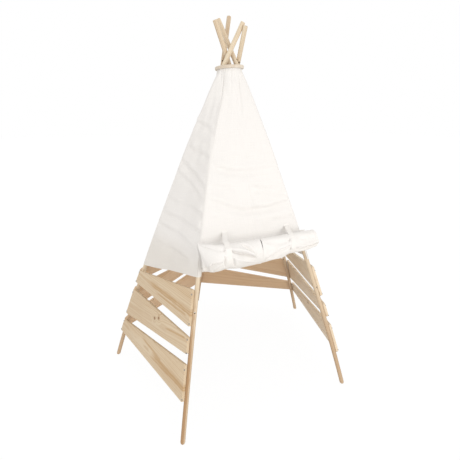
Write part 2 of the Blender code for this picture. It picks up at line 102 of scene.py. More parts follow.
# Sizes and counts of the looks alone
HOOP_SINK = 0.009
HOOP_TILT = math.radians(3.3)
HOOP_TILT_WAY = np.array((0.915, -0.404))
HOOP_EASE = 0.0036
BOARD_EASE = 0.0018
TIP_EASE = 0.0018
FOOT_TURN = 0.012
COVER_TOP = HOOP_HEIGHT
FRONT_HEM = 0.9725
SEAM_STRIP = 0.011
HEM_STRIP = 0.02
PANEL_COLUMNS = 150
PANEL_ROWS = 170
LISTED_FOLD_DEPTH = 0.006
LEAF_LENGTH = 0.98
LEAF_COLUMNS = 150
LEAF_START = -0.0002
LEAF_LAP = 0.0025
RIGHT_END_SHORT = 0.008
HALF_SLIT = 0.002
ROLL_END_FLATNESS = 0.5
MEAN_ROLL_RADIUS = 0.07
SEAM_STITCHES = (0.0022, 0.0085)
HEM_STITCHES = 0.0045
SCREW_HEAD_RADIUS = 0.0046
SCREW_HEAD_DEPTH = 0.003
SCREW_SHARES = (0.075, 0.865)
RIPPLE_WAVES = 7

# How much longer wood and cloth are than they are high, and how far apart in one log the pieces start
POLE_LENGTH_SHARE = 1.03
CLOTH_LENGTH_SHARE = 1.06
POLE_GRAIN_STEP = 7.3
BOARD_GRAIN_STEP = 3.7


# Shapes of the frame

class Pole:
    """A round pole with a bowed centre line, from its foot to its tip."""

    def __init__(self, foot, tip, hole_height):
        self.foot = np.array((*foot, 0.0))
        self.tip = np.array(tip)
        self.outward = self.foot / np.linalg.norm(self.foot)
        self.hole_height = hole_height

    def axis(self, height):
        share = np.asarray(height, float)[..., None] / self.tip[2]
        bow = self.outward * POLE_BOW * 4 * share * (1 - share)
        return self.foot + (self.tip - self.foot) * share + bow

    def rise(self, height):
        height = np.asarray(height, float)
        return unit(self.axis(height + 0.001) - self.axis(height - 0.001))

    def height_after(self, height, length):
        return height + length * self.rise(height + length / 2)[2]


POLES = {
    "front_left": Pole((-0.522, -0.605), (0.0645, 0.1544, 2.144), 0.628),
    "front_right": Pole((0.522, -0.605), (-0.0404, 0.0617, 2.1015), 0.628),
    "right": Pole((0.7476, 0.2497), (-0.0963, -0.0309, 2.0732), 0.538),
    "back": Pole((0.0, 0.7215), (0.0561, -0.0806, 2.05), 0.628),
    "left": Pole((-0.7476, 0.2497), (0.0521, -0.0592, 2.0705), 0.538),
}


def unit(vectors):
    vectors = np.asarray(vectors, float)
    return vectors / np.maximum(np.linalg.norm(vectors, axis=-1, keepdims=True), 1e-12)


def smooth(low, high, value):
    """0 below low, 1 above high, and an even rise between them."""
    share = np.clip((np.asarray(value, float) - low) / (high - low), 0, 1)
    return share * share * (3 - 2 * share)


def bell(value, middle, width):
    """A bump 1 high in the middle and about a third as high at its width to either side."""
    return np.exp(-((value - middle) / width) ** 2)


def turned(first, second, angle):
    """Two coordinates as seen from axes that are turned by an angle."""
    return first * np.cos(angle) + second * np.sin(angle), second * np.cos(angle) - first * np.sin(angle)


def around(reach, angle, height):
    """Points at a distance from the tent's axis."""
    return np.stack(np.broadcast_arrays(reach * np.cos(angle), reach * np.sin(angle), height), -1)


def ripple(first, second, seed, low, high):
    """An uneven ripple from about -1 to 1 over two coordinates."""
    rng = np.random.default_rng(seed)
    total = np.zeros(np.broadcast(first, second).shape)
    for _ in range(RIPPLE_WAVES):
        turn, start = rng.uniform(0, FULL_TURN, 2)
        pitch = rng.uniform(low, high) * FULL_TURN
        total += np.sin(pitch * (first * math.cos(turn) + second * math.sin(turn)) + start)
    return total / math.sqrt(RIPPLE_WAVES)


# Meshes

def add_object(name, data):
    """A new object in the scene."""
    obj = bpy.data.objects.new(name, data)
    bpy.context.scene.collection.objects.link(obj)
    return obj


def finish_piece(name, mesh, material, smooth_angle):
    mesh.materials.append(material)
    smooth_faces(mesh, smooth_angle)
    return add_object(name, mesh)


def add_piece(name, vertices, faces, material, smooth_angle):
    mesh = bpy.data.meshes.new(name)
    mesh.from_pydata((np.asarray(vertices, float) + TENT_SHIFT).tolist(), [], faces)
    return finish_piece(name, mesh, material, smooth_angle)


def smooth_faces(mesh, angle):
    """Shades a mesh smooth, apart from its edges that are sharper than an angle in degrees."""
    mesh.shade_smooth()
    mesh.set_sharp_from_angle(angle=math.radians(angle))


def set_vectors(mesh, name, values):
    """Stores a pattern's own coordinates on the mesh."""
    attribute = mesh.attributes.get(name) or mesh.attributes.new(name, "FLOAT_VECTOR", "POINT")
    attribute.data.foreach_set("vector", np.asarray(values, np.float32).ravel())


def mesh_points(mesh):
    points = np.empty(len(mesh.vertices) * 3, np.float32)
    mesh.vertices.foreach_get("co", points)
    return points.reshape(-1, 3).astype(float)


def tidy_mesh(mesh, distance=0.00001):
    bm = bmesh.new()
    bm.from_mesh(mesh)
    bmesh.ops.remove_doubles(bm, verts=bm.verts, dist=distance)
    bmesh.ops.recalc_face_normals(bm, faces=bm.faces)
    bm.to_mesh(mesh)
    bm.free()


def apply_modifier(obj, modifier):
    """Leaves the modifier's result as the object's plain mesh."""
    bpy.context.view_layer.update()
    graph = bpy.context.evaluated_depsgraph_get()
    result = bpy.data.meshes.new_from_object(obj.evaluated_get(graph))
    obj.modifiers.remove(modifier)
    old = obj.data
    obj.data = result
    bpy.data.meshes.remove(old)


def tube_faces(rings, sides):
    """The faces of a closed tube whose points lie ring by ring."""
    index = np.arange(rings * sides).reshape(rings, sides)
    after = np.roll(index, -1, 1)
    faces = np.stack((index[:-1], after[:-1], after[1:], index[1:]), -1).reshape(-1, 4).tolist()
    return faces + [index[0, ::-1].tolist(), index[-1].tolist()]


def sheet_normals(grid):
    across = np.gradient(grid, axis=1)
    along = np.gradient(grid, axis=0)
    return unit(np.cross(across, along))


def sheet_shell(grid, thickness, weave):
    """The vertices, faces and weave coordinates of a closed thin sheet over a grid of points."""
    rows, columns = grid.shape[:2]
    normals = sheet_normals(grid)
    outer = grid + normals * np.broadcast_to(thickness, (rows, columns))[..., None]
    vertices = np.concatenate((grid.reshape(-1, 3), outer.reshape(-1, 3)))
    index = np.arange(rows * columns).reshape(rows, columns)
    a, b = index[:-1, :-1].ravel(), index[:-1, 1:].ravel()
    c, d = index[1:, 1:].ravel(), index[1:, :-1].ravel()
    lift = rows * columns
    inner_faces = np.stack((a, d, c, b), 1)
    outer_faces = np.stack((a, b, c, d), 1) + lift
    rim = np.concatenate((index[0, :-1], index[:-1, -1], index[-1, :0:-1], index[:0:-1, 0]))
    after = np.roll(rim, -1)
    rim_faces = np.stack((rim, after, after + lift, rim + lift), 1)
    faces = np.concatenate((inner_faces, outer_faces, rim_faces)).tolist()
    coordinates = np.concatenate((weave.reshape(-1, 2),) * 2)
    coordinates = np.concatenate((coordinates, np.zeros((len(coordinates), 1))), 1)
    return vertices, faces, coordinates


def add_sheet(name, grid, thickness, weave, material):
    vertices, faces, coordinates = sheet_shell(grid, thickness, weave)
    obj = add_piece(name, vertices, faces, material, 60)
    set_vectors(obj.data, "weave", coordinates)
    return obj


def grid_area(grid):
    """The area of a grid of points."""
    a, b, c, d = grid[:-1, :-1], grid[:-1, 1:], grid[1:, 1:], grid[1:, :-1]
    first = np.linalg.norm(np.cross(b - a, c - a), axis=-1)
    second = np.linalg.norm(np.cross(c - a, d - a), axis=-1)
    return float((first + second).sum() / 2)


def run_length(points):
    """The distance along a line of points to each of them."""
    steps = np.linalg.norm(np.diff(points, axis=0), axis=-1)
    return np.concatenate(([0.0], np.cumsum(steps)))


def grid_line(grid, rows, columns):
    """Points on a grid at fractional rows and columns."""
    row = np.clip(rows.astype(int), 0, grid.shape[0] - 2)
    column = np.clip(columns.astype(int), 0, grid.shape[1] - 2)
    down, over = (rows - row)[:, None], (columns - column)[:, None]
    near = grid[row, column] * (1 - over) + grid[row, column + 1] * over
    far = grid[row + 1, column] * (1 - over) + grid[row + 1, column + 1] * over
    return near * (1 - down) + far * down


# Materials

class Nodes:
    """Adds nodes to a tree in short calls."""

    def __init__(self, tree, family=""):
        self.tree = tree
        self.family = family

    def add(self, kind, outlet=0, inputs=None, **settings):
        node = self.tree.nodes.new(self.family + kind)
        for name, value in settings.items():
            setattr(node, name, value)
        for key, value in (inputs or {}).items():
            self.feed(node.inputs[key], value)
        return node.outputs[outlet]

    def feed(self, socket, value):
        if isinstance(value, bpy.types.NodeSocket):
            self.tree.links.new(value, socket)
        else:
            socket.default_value = value


class Graph(Nodes):
    """A material and its nodes."""

    def __init__(self, name):
        self.material = bpy.data.materials.new(name)
        self.material.use_nodes = True
        super().__init__(self.material.node_tree, "ShaderNode")
        self.shader = self.tree.nodes["Principled BSDF"]

    def math(self, operation, first, second=0.0, third=0.0):
        inputs = {0: first, 1: second, 2: third}
        return self.add("Math", operation=operation, inputs=inputs)

    def spread(self, value, low, high, out_low=0.0, out_high=1.0):
        inputs = {"Value": value, "From Min": low, "From Max": high, "To Min": out_low, "To Max": out_high}
        return self.add("MapRange", interpolation_type="SMOOTHSTEP", inputs=inputs)

    def mapped(self, vector, scale, location=(0, 0, 0)):
        return self.add("Mapping", inputs={"Vector": vector, "Scale": scale, "Location": location})

    def noise(self, vector, scale, detail, roughness=0.5, shift=(0, 0, 0)):
        """Noise over coordinates that are scaled along each axis and shifted."""
        inputs = {"Vector": self.mapped(vector, scale, shift), "Scale": 1.0, "Detail": detail,
                  "Roughness": roughness}
        return self.add("TexNoise", inputs=inputs)

    def attribute(self, name):
        return self.add("Attribute", outlet="Vector", attribute_name=name)

    def parts(self, vector):
        """A vector's three coordinates."""
        return self.add("SeparateXYZ", inputs={0: vector}).node.outputs

    def place(self):
        """The three coordinates of a place on the object."""
        return self.parts(self.add("TexCoord", outlet="Object"))

    def mix(self, share, first, second):
        return self.add("Mix", outlet=2, data_type="RGBA", inputs={0: share, 6: first, 7: second})

    def surface(self, colour, roughness, height=None, distance=0.001, strength=1.0):
        self.feed(self.shader.inputs["Base Color"], colour)
        self.feed(self.shader.inputs["Roughness"], roughness)
        if height is not None:
            inputs = {"Height": height, "Distance": distance, "Strength": strength}
            self.feed(self.shader.inputs["Normal"], self.add("Bump", inputs=inputs))
        return self.material


def paint(colour):
    return (*colour[:3], 1.0)


def shaded(colour, factor):
    return tuple(value * factor for value in colour[:3]) + (1.0,)


def streak_mask(graph, grain, streak):
    """A long band of darker wood with ragged sides, thinning out at both ends."""
    along, across, length, angle, half_width = streak
    inputs = {"Vector": grain, "Location": (along, across, 0.0), "Rotation": (0.0, 0.0, angle),
              "Scale": (length, half_width, 1.0)}
    run, side, _ = graph.parts(graph.add("Mapping", vector_type="TEXTURE", inputs=inputs))
    ragged = graph.noise(grain, (9.0, 70.0, 0.0), 3.0, 0.6)
    off = graph.math("ADD", side, graph.math("MULTIPLY_ADD", ragged, 1.3, -0.65))
    body = graph.spread(graph.math("ABSOLUTE", off), 1.05, 0.5)
    ends = graph.math("MULTIPLY", graph.spread(run, 0.0, 0.22), graph.spread(run, 1.0, 0.92))
    lines = graph.math("SINE", graph.math("MULTIPLY", off, 9.0))
    lines = graph.math("MULTIPLY_ADD", lines, 0.26, 0.74)
    return graph.math("MULTIPLY", graph.math("MULTIPLY", body, ends), lines)


def tinted(colour, tint):
    """A colour with each of its channels scaled."""
    return tuple(min(1.0, value * share) for value, share in zip(colour, tint))


def knot_distance(graph, grain, knots, knot_share, knots_from):
    """The distance to the nearest knot: chosen ones, and strewn ones further along than a place."""
    along, across, _ = graph.parts(grain)
    cells = graph.mapped(grain, (4.6, 5.4, 0.0))
    cell = graph.add("TexVoronoi", outlet="Color", voronoi_dimensions="2D",
                     inputs={"Vector": cells, "Scale": 1.0, "Randomness": 0.85})
    chosen = graph.add("SeparateColor", inputs={0: cell})
    here = graph.math("LESS_THAN", chosen, knot_share)
    here = graph.math("MULTIPLY", here, graph.math("GREATER_THAN", along, knots_from))
    distance = graph.math("MULTIPLY", cell.node.outputs["Distance"], 0.2)
    distance = graph.math("ADD", distance, graph.math("SUBTRACT", 1.0, here))
    for knot_along, knot_across in knots:
        way = graph.add("CombineXYZ", inputs={0: along, 1: across})
        apart = graph.add("VectorMath", outlet="Value", operation="DISTANCE",
                          inputs={0: way, 1: (knot_along, knot_across, 0.0)})
        distance = graph.math("MINIMUM", distance, apart)
    edge = graph.noise(grain, (90, 90, 90), 2.0)
    return graph.math("ADD", distance, graph.math("MULTIPLY_ADD", edge, 0.004, -0.002))


def growth_rings(graph, grain, spacing, knot_gap):
    """The share of late wood in the growth rings, which bend round the knots."""
    _, across, through = graph.parts(grain)
    drift = graph.noise(grain, (1.1, 2.2, 2.2), 1.0)
    drift = graph.math("MULTIPLY_ADD", drift, 0.085, -0.0425)
    waver = graph.noise(grain, (5.0, 26.0, 26.0), 2.0)
    waver = graph.math("MULTIPLY_ADD", waver, 0.007, -0.0035)
    swirl = graph.spread(knot_gap, 0.045, 0.0)
    reach = graph.add("CombineXYZ", inputs={0: graph.math("ADD", across, drift), 1: through})
    radius = graph.add("VectorMath", outlet="Value", operation="LENGTH", inputs={0: reach})
    radius = graph.math("ADD", radius, waver)
    radius = graph.math("ADD", radius, graph.math("MULTIPLY", swirl, 0.012))
    turns = graph.math("DIVIDE", radius, spacing)
    share = graph.math("FRACT", turns)
    band = graph.math("MULTIPLY", graph.spread(share, 0.15, 0.86), graph.spread(share, 1.0, 0.93))
    ring = graph.add("CombineXYZ", inputs={0: graph.math("FLOOR", turns)})
    ring_tone = graph.noise(ring, (3.7, 3.7, 3.7), 0.0)
    return graph.math("MULTIPLY", band, graph.spread(ring_tone, 0.25, 0.75, 0.25, 1.0))


def heartwood_and_shade(graph, colour, late, through, cloud, strength):
    """The darker side of a pole, partly heartwood and partly painted shade on its side away from the light;
    the side and the whole pole grow darker towards the foot.
    """
    low = graph.spread(graph.place()[2], 0.8, 0.35, 0.0, 1.0)
    colour = graph.mix(graph.math("MULTIPLY", low, 0.5), colour, paint(late))
    side = graph.math("ADD", through, graph.math("MULTIPLY_ADD", cloud, 0.003, -0.0015))
    side = graph.math("ADD", side, graph.math("MULTIPLY", low, 0.003))
    mask = graph.math("MULTIPLY", graph.spread(side, -0.0008, 0.0028), strength)
    mask = graph.math("MULTIPLY", mask, graph.math("MULTIPLY_ADD", low, 0.8, 0.2))
    return graph.mix(mask, colour, shaded(late, 0.95))


def pine(name, early, late, knot, ring_spacing, knot_share, knots=(), knots_from=-100.0, streaks=(),
         heart_and_shade=0.0):
    """Pine with growth rings, fibres and knots, along the first of its grain coordinates."""
    graph = Graph(name)
    grain = graph.attribute("grain")
    distance = knot_distance(graph, grain, knots, knot_share, knots_from)
    band = growth_rings(graph, grain, ring_spacing, distance)
    fibre = graph.noise(grain, (9.0, 900.0, 900.0), 2.0, 0.6)
    fleck = graph.noise(grain, (22.0, 260.0, 260.0), 3.0, 0.6)
    cloud = graph.noise(grain, (1.6, 9.0, 9.0), 2.0, shift=(3.1, 0, 0))

    colour = graph.mix(graph.math("MULTIPLY", band, 0.6), paint(early), paint(late))
    colour = graph.mix(graph.spread(fibre, 0.35, 0.8, 0.0, 0.22), colour, shaded(late, 0.9))
    colour = graph.mix(graph.spread(fleck, 0.58, 0.8, 0.0, 0.3), colour, shaded(late, 0.78))
    colour = graph.mix(graph.spread(cloud, 0.35, 0.7, 0.0, 0.25), colour, shaded(late, 1.02))
    for streak in streaks:
        mask = graph.math("MULTIPLY", streak_mask(graph, grain, streak), 0.85)
        colour = graph.mix(mask, colour, paint(late))
    # A pole's darker side: partly heartwood, partly painted shade
    if heart_and_shade:
        colour = heartwood_and_shade(graph, colour, late, graph.parts(grain)[2], cloud, heart_and_shade)
    halo = graph.spread(distance, 0.02, 0.007)
    core = graph.spread(distance, 0.0085, 0.0065)
    knot_ring = graph.math("FRACT", graph.math("DIVIDE", distance, 0.0016))
    knot_tone = graph.mix(graph.math("MULTIPLY", knot_ring, 0.35), paint(knot), shaded(knot, 0.55))
    colour = graph.mix(graph.math("MULTIPLY", halo, 0.45), colour, shaded(late, 0.75))
    colour = graph.mix(core, colour, knot_tone)

    relief = graph.math("ADD", graph.math("MULTIPLY", band, 0.35), graph.math("MULTIPLY", fibre, 0.5))
    relief = graph.math("ADD", relief, graph.math("MULTIPLY", fleck, -0.4))
    dull = graph.spread(fibre, 0.2, 0.8, 0.48, 0.66)
    return graph.surface(colour, dull, relief, 0.00022)


def canvas(name, colour, thread=0.0011):
    """Plain-woven cotton with uneven threads, soft mottling, small slubs and painted shade towards the
    bottom.
    """
    graph = Graph(name)
    weave = graph.attribute("weave")
    waver = graph.noise(weave, (60, 60, 1), 2.0)
    sway = graph.math("MULTIPLY_ADD", waver, thread, -thread / 2)
    crossed = []
    for place in graph.parts(weave)[:2]:
        turn = graph.math("MULTIPLY", graph.math("ADD", place, sway), FULL_TURN / thread)
        crossed.append(graph.math("SINE", turn))
    checks = graph.math("MULTIPLY", crossed[0], crossed[1])
    warp = graph.noise(weave, (700, 12, 1), 2.0)
    weft = graph.noise(weave, (12, 700, 1), 2.0, shift=(5, 3, 0))
    threads = graph.math("ADD", warp, weft)
    mottle = graph.noise(weave, (5, 5, 1), 3.0)
    slub = graph.noise(weave, (45, 420, 1), 3.0, shift=(1, 7, 0))

    tone = graph.mix(graph.spread(threads, 0.75, 1.3, 0.0, 0.55), paint(colour), shaded(colour, 0.9))
    tone = graph.mix(graph.spread(mottle, 0.4, 0.75, 0.0, 0.35), tone, shaded(colour, 0.955))
    tone = graph.mix(graph.spread(checks, -1.0, 0.2, 0.28, 0.0), tone, shaded(colour, 0.84))
    tone = graph.mix(graph.spread(slub, 0.66, 0.78, 0.0, 0.22), tone, (0.72, 0.66, 0.55, 1.0))
    # Painted shade: the cloth grows darker towards the bottom, below about a metre, with a little mottling
    # where it starts
    low_shade = graph.math("MULTIPLY_ADD", mottle, 0.06, graph.place()[2])
    tone = graph.mix(graph.spread(low_shade, 1.0, 0.84, 0.0, 0.6), tone, (0.74, 0.70, 0.64, 1.0))
    crumple = graph.noise(weave, (26, 26, 1), 3.0, 0.55)
    height = graph.math("ADD", graph.math("MULTIPLY", checks, 0.12), graph.math("MULTIPLY", threads, 0.35))
    height = graph.math("ADD", height, graph.math("MULTIPLY", crumple, 1.6))
    material = graph.surface(tone, 0.92, height, 0.0006, 0.8)
    graph.shader.inputs["Sheen Weight"].default_value = 0.18
    graph.shader.inputs["Sheen Roughness"].default_value = 0.5
    graph.shader.inputs["Specular IOR Level"].default_value = 0.2
    return material


def thread_cotton(name, colour):
    graph = Graph(name)
    place = graph.add("TexCoord", outlet="Object")
    twist = graph.noise(place, (900, 900, 900), 2.0)
    tone = graph.mix(graph.spread(twist, 0.35, 0.7), paint(colour), shaded(colour, 0.8))
    return graph.surface(tone, 0.85, twist, 0.0002)


def screw_steel(name):
    """Blue zinc plating with fine turning marks and a few scuffs."""
    graph = Graph(name)
    place = graph.add("TexCoord", outlet="Object")
    wear = graph.noise(place, (260, 260, 260), 4.0, 0.6)
    tone = graph.mix(graph.spread(wear, 0.4, 0.7), (0.13, 0.16, 0.21, 1), (0.26, 0.29, 0.34, 1))
    dull = graph.spread(wear, 0.3, 0.75, 0.26, 0.5)
    material = graph.surface(tone, dull, wear, 0.0002)
    graph.shader.inputs["Metallic"].default_value = 0.9
    return material


# Marks of the boards on the left side: knots and streaks in grain coordinates, and where the heart is
BOARD_KNOTS = ((7.771, 0.005), (7.816, 0.019))
BOARD_STREAKS = (
    (11.22, -0.004, 0.56, 0.010, 0.0200),
    (11.34, -0.032, 0.36, 0.020, 0.0075),
    (4.10, -0.004, 0.43, 0.035, 0.0230),
    (3.98, 0.036, 0.26, -0.06, 0.0080),
    (7.88, -0.012, 0.22, 0.06, 0.0070),
)
BOARD_HEARTS = {
    "left_board_bottom": (0.062, 0.055),
    "left_board_middle": (0.075, 0.060),
    "left_board_top": (0.068, 0.055),
}


def finish_material(name):
    """One material of the tent, made when it is first asked for."""
    found = bpy.data.materials.get(name)
    if found:
        return found
    wood = bpy.context.scene.play_tent_wood
    cloth = bpy.context.scene.play_tent_cloth

    def board_pine(light, dark, *marks):
        return pine(name, tinted(wood.board_colour, light), tinted(wood.ring_colour, dark),
                    wood.knot_colour, 0.0065, *marks)

    makers = {
        # The poles' darker side is partly painted shade
        "Pole pine": lambda: pine(name, wood.pole_colour, wood.heart_and_shade_colour, wood.knot_colour,
                                  0.0042, 0.04, heart_and_shade=0.8),
        # Near-black wood for the bores' walls: painted shade in the holes
        "Bored pine": lambda: pine(name, (0.09, 0.05, 0.03), (0.04, 0.02, 0.01), wood.knot_colour,
                                   0.002, 0.0),
        "Board pine": lambda: board_pine((1, 1, 1), (1, 1, 1), 0.10, BOARD_KNOTS, 13.0, BOARD_STREAKS),
        # The back boards are tinted warmer: painted warm light on their inner faces
        "Warm board pine": lambda: board_pine((1.08, 0.98, 0.92), (1.08, 0.98, 0.92), 0.05),
        # The right boards are lighter and cooler: partly painted light on their inner faces, partly a more
        # neutral wood tone
        "Light board pine": lambda: board_pine((1.20, 1.26, 1.36), (1.12, 1.2, 1.45), 0.12),
        "Hoop wood": lambda: pine(name, wood.hoop_colour, (0.5, 0.36, 0.23), (0.3, 0.18, 0.1),
                                  0.0035, 0.0),
        "Cotton canvas": lambda: canvas(name, cloth.canvas_colour),
        "Cotton tape": lambda: canvas(name, cloth.tape_colour, 0.0009),
        "Sewing thread": lambda: thread_cotton(name, cloth.thread_colour),
        "Zinc screw": lambda: screw_steel(name),
    }
    return makers[name]()


# Poles

# How far a front pole's lower hole and each pole's darker side, partly heartwood and partly painted shade,
# are turned round it
HOLE_TURNS = {"front_left": math.radians(26), "front_right": math.radians(-26)}
HEART_AND_SHADE_TURNS = {"front_left": -1.0, "front_right": 1.57, "right": 0.94, "back": -0.3, "left": -1.57}


def pole_ring_stations(pole):
    """(height, radius) along a pole, from its flattened round foot to its eased tip."""
    ball = math.sqrt(POLE_RADIUS ** 2 - FOOT_FLAT_RADIUS ** 2)
    stations = []
    for angle in np.linspace(math.asin(FOOT_FLAT_RADIUS / POLE_RADIUS), math.pi / 2, 8):
        stations.append((ball - POLE_RADIUS * math.cos(angle), POLE_RADIUS * math.sin(angle)))
    for height in np.linspace(0.03, pole.tip[2] - 0.012, 70):
        stations.append((float(height), POLE_RADIUS))
    for angle in np.linspace(0, 1, 5) * math.pi / 2:
        height = pole.tip[2] - TIP_EASE + TIP_EASE * math.sin(angle) - 0.0004
        stations.append((height, POLE_RADIUS - TIP_EASE + TIP_EASE * math.cos(angle)))
    return stations


def pole_grain(pole, points, seed, turn):
    """Grain coordinates of points on a pole: along it, and across its section."""
    height = points[:, 2].copy()
    for _ in range(3):
        axis, rise = pole.axis(height), pole.rise(height)
        height += np.einsum("ij,ij->i", points - axis, rise) * rise[:, 2]
    axis, rise = pole.axis(height), pole.rise(height)
    side = unit(np.cross(rise, pole.outward))
    front = np.cross(side, rise)
    offset = points - axis
    rng = np.random.default_rng(seed)
    first = np.einsum("ij,ij->i", offset, side)
    second = np.einsum("ij,ij->i", offset, front)
    across, through = turned(first, second, -turn)
    across = across + rng.uniform(0.012, 0.03)
    return np.stack((height * POLE_LENGTH_SHARE + seed * POLE_GRAIN_STEP, across, through), 1)


def drill(obj, pole, height, turn=0.0):
    """Cuts a small hole straight through a pole, turned round it from the tent's axis; the bore's walls
    take a near-black wood, painted shade in the hole.
    """
    bm = bmesh.new()
    bmesh.ops.create_cone(bm, cap_ends=True, segments=24, radius1=HOLE_RADIUS, radius2=HOLE_RADIUS,
                          depth=0.06)
    rise = pole.rise(height)
    square = pole.outward - rise * pole.outward.dot(rise)
    square = square * math.cos(turn) + np.cross(rise, square) * math.sin(turn)
    centre = Vector(pole.axis(height) + TENT_SHIFT)
    facing = Vector(square).to_track_quat("Z", "Y").to_matrix().to_4x4()
    bmesh.ops.transform(bm, matrix=Matrix.Translation(centre) @ facing, verts=bm.verts)
    mesh = bpy.data.meshes.new("drill")
    bm.to_mesh(mesh)
    bm.free()
    mesh.materials.append(finish_material("Bored pine"))
    cutter = add_object("drill", mesh)
    cut = obj.modifiers.new("Hole", "BOOLEAN")
    cut.operation = "DIFFERENCE"
    cut.solver = "EXACT"
    cut.material_mode = "TRANSFER"
    cut.object = cutter
    apply_modifier(obj, cut)
    bpy.data.objects.remove(cutter)
    bpy.data.meshes.remove(mesh)


def add_pole(name, pole, seed):
    """A pole whose rings lie level at its foot and square to it above."""
    sides = 32
    angles = np.arange(sides) * FULL_TURN / sides
    rings = []
    for height, radius in pole_ring_stations(pole):
        axis, rise = pole.axis(height), pole.rise(height)
        lean = min(1.0, height / FOOT_TURN)
        rise = unit(rise * lean + np.array((0, 0, 1)) * (1 - lean))
        side = unit(np.cross(rise, pole.outward))
        front = np.cross(side, rise)
        ring = axis + radius * (np.cos(angles)[:, None] * side - np.sin(angles)[:, None] * front)
        rings.append(ring)
    rings[0][:, 2] = 0.0
    vertices = np.concatenate(rings)
    shown = name + "_stick"
    obj = add_piece(shown, vertices, tube_faces(len(rings), sides), finish_material("Pole pine"), 40)
    tidy_mesh(obj.data)
    drill(obj, pole, pole.hole_height, HOLE_TURNS.get(name, 0.0))
    drill(obj, pole, TOP_HOLE_HEIGHT)
    smooth_faces(obj.data, 38)
    points = mesh_points(obj.data) - TENT_SHIFT
    set_vectors(obj.data, "grain", pole_grain(pole, points, seed, HEART_AND_SHADE_TURNS[name]))
    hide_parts(name + "_pole")
    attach(obj, "frame")


# Boards

SIDES = (
    ("left", "front_left", "left"),
    ("back_left", "back", "left"),
    ("back_right", "back", "right"),
    ("right", "front_right", "right"),
)


def board_heights(pole, widths):
    heights = []
    low = BOARD_BOTTOM
    for width in widths:
        high = pole.height_after(low, width)
        heights.append((low, high))
        low = pole.height_after(high, BOARD_GAP)
    return heights


class Board:
    """A board's plane and corners on the outside of its two poles."""

    def __init__(self, wide, wide_heights, narrow, narrow_heights):
        self.wide_low, self.wide_high = (wide.axis(height) for height in wide_heights)
        self.narrow_low, self.narrow_high = (narrow.axis(height) for height in narrow_heights)
        normal = unit(np.cross(self.wide_high - self.narrow_low, self.narrow_high - self.wide_low))
        middle = (self.wide_low + self.wide_high + self.narrow_low + self.narrow_high) / 4
        self.normal = normal if normal[:2].dot(middle[:2]) > 0 else -normal
        reach = -1e9
        for pole, (low, high) in ((wide, wide_heights), (narrow, narrow_heights)):
            samples = pole.axis(np.linspace(low, high, 7))
            reach = max(reach, float((samples @ self.normal).max()))
        self.inner = reach + POLE_RADIUS + CONTACT_GAP
        self.along = unit(self.wide_low - self.narrow_low)
        self.up = unit(np.cross(self.normal, self.along))
        if self.up[2] < 0:
            self.up = -self.up

    def on_back(self, point):
        return point + self.normal * (self.inner - self.normal.dot(point))

    def corners(self):
        over = self.along * BOARD_OVERHANG
        corners = (self.narrow_low - over, self.wide_low + over, self.wide_high + over,
                   self.narrow_high - over)
        return [self.on_back(point) for point in corners]

    def screw_places(self):
        """Places on the outer face over each pole, two at each end."""
        places = []
        for low, high in ((self.wide_low, self.wide_high), (self.narrow_low, self.narrow_high)):
            for share in SCREW_SHARES:
                point = low + (high - low) * share
                places.append(self.on_back(point) + self.normal * BOARD_THICKNESS)
        return places


def all_boards():
    """Each board's name and shape, bottom board first on each side."""
    boards = []
    wide_ends = (BOARD_WIDE_END, BOARD_NARROW_END, BOARD_WIDE_END)
    narrow_ends = (BOARD_NARROW_END, BOARD_WIDE_END, BOARD_NARROW_END)
    for side, wide_name, narrow_name in SIDES:
        wide, narrow = POLES[wide_name], POLES[narrow_name]
        heights = zip(board_heights(wide, wide_ends), board_heights(narrow, narrow_ends))
        for place, (wide_pair, narrow_pair) in zip(("bottom", "middle", "top"), heights):
            boards.append((f"{side}_board_{place}", Board(wide, wide_pair, narrow, narrow_pair)))
    return boards


def add_board(node, board, seed):
    bm = bmesh.new()
    rim = [bm.verts.new(Vector(point + TENT_SHIFT)) for point in board.corners()]
    bm.faces.new(rim)
    bmesh.ops.bevel(bm, geom=bm.verts[:], offset=BOARD_CORNER, offset_type="OFFSET", segments=6,
                    profile=0.5, affect="VERTICES")
    raised = bmesh.ops.extrude_face_region(bm, geom=bm.faces[:])
    moved = [item for item in raised["geom"] if isinstance(item, bmesh.types.BMVert)]
    bmesh.ops.translate(bm, verts=moved, vec=Vector(board.normal * BOARD_THICKNESS))
    bmesh.ops.recalc_face_normals(bm, faces=bm.faces)
    edges = [edge for edge in bm.edges if edge.calc_face_angle(0) > math.radians(50)]
    bmesh.ops.bevel(bm, geom=edges, offset=BOARD_EASE, offset_type="OFFSET", segments=3, profile=0.5,
                    affect="EDGES")
    name = node.replace("_board_", "_plank_")
    mesh = bpy.data.meshes.new(name)
    bm.to_mesh(mesh)
    bm.free()
    # The back and right boards take pine with painted light on their inner faces, warmer at the back and
    # lighter on the right
    wood = {"back": "Warm board pine", "right": "Light board pine"}.get(node.split("_")[0], "Board pine")
    obj = finish_piece(name, mesh, finish_material(wood), 34)
    points = mesh_points(obj.data) - TENT_SHIFT - board.on_back(board.narrow_low)
    rng = np.random.default_rng(seed)
    pith = BOARD_HEARTS.get(node, (rng.uniform(-0.03, 0.17), rng.uniform(0.012, 0.05)))
    grain = np.stack((points @ board.along + seed * BOARD_GRAIN_STEP, points @ board.up - pith[0],
                      points @ board.normal + pith[1]), 1)
    set_vectors(obj.data, "grain", grain)
    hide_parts(node)
    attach(obj, "frame")


# Geometry Nodes

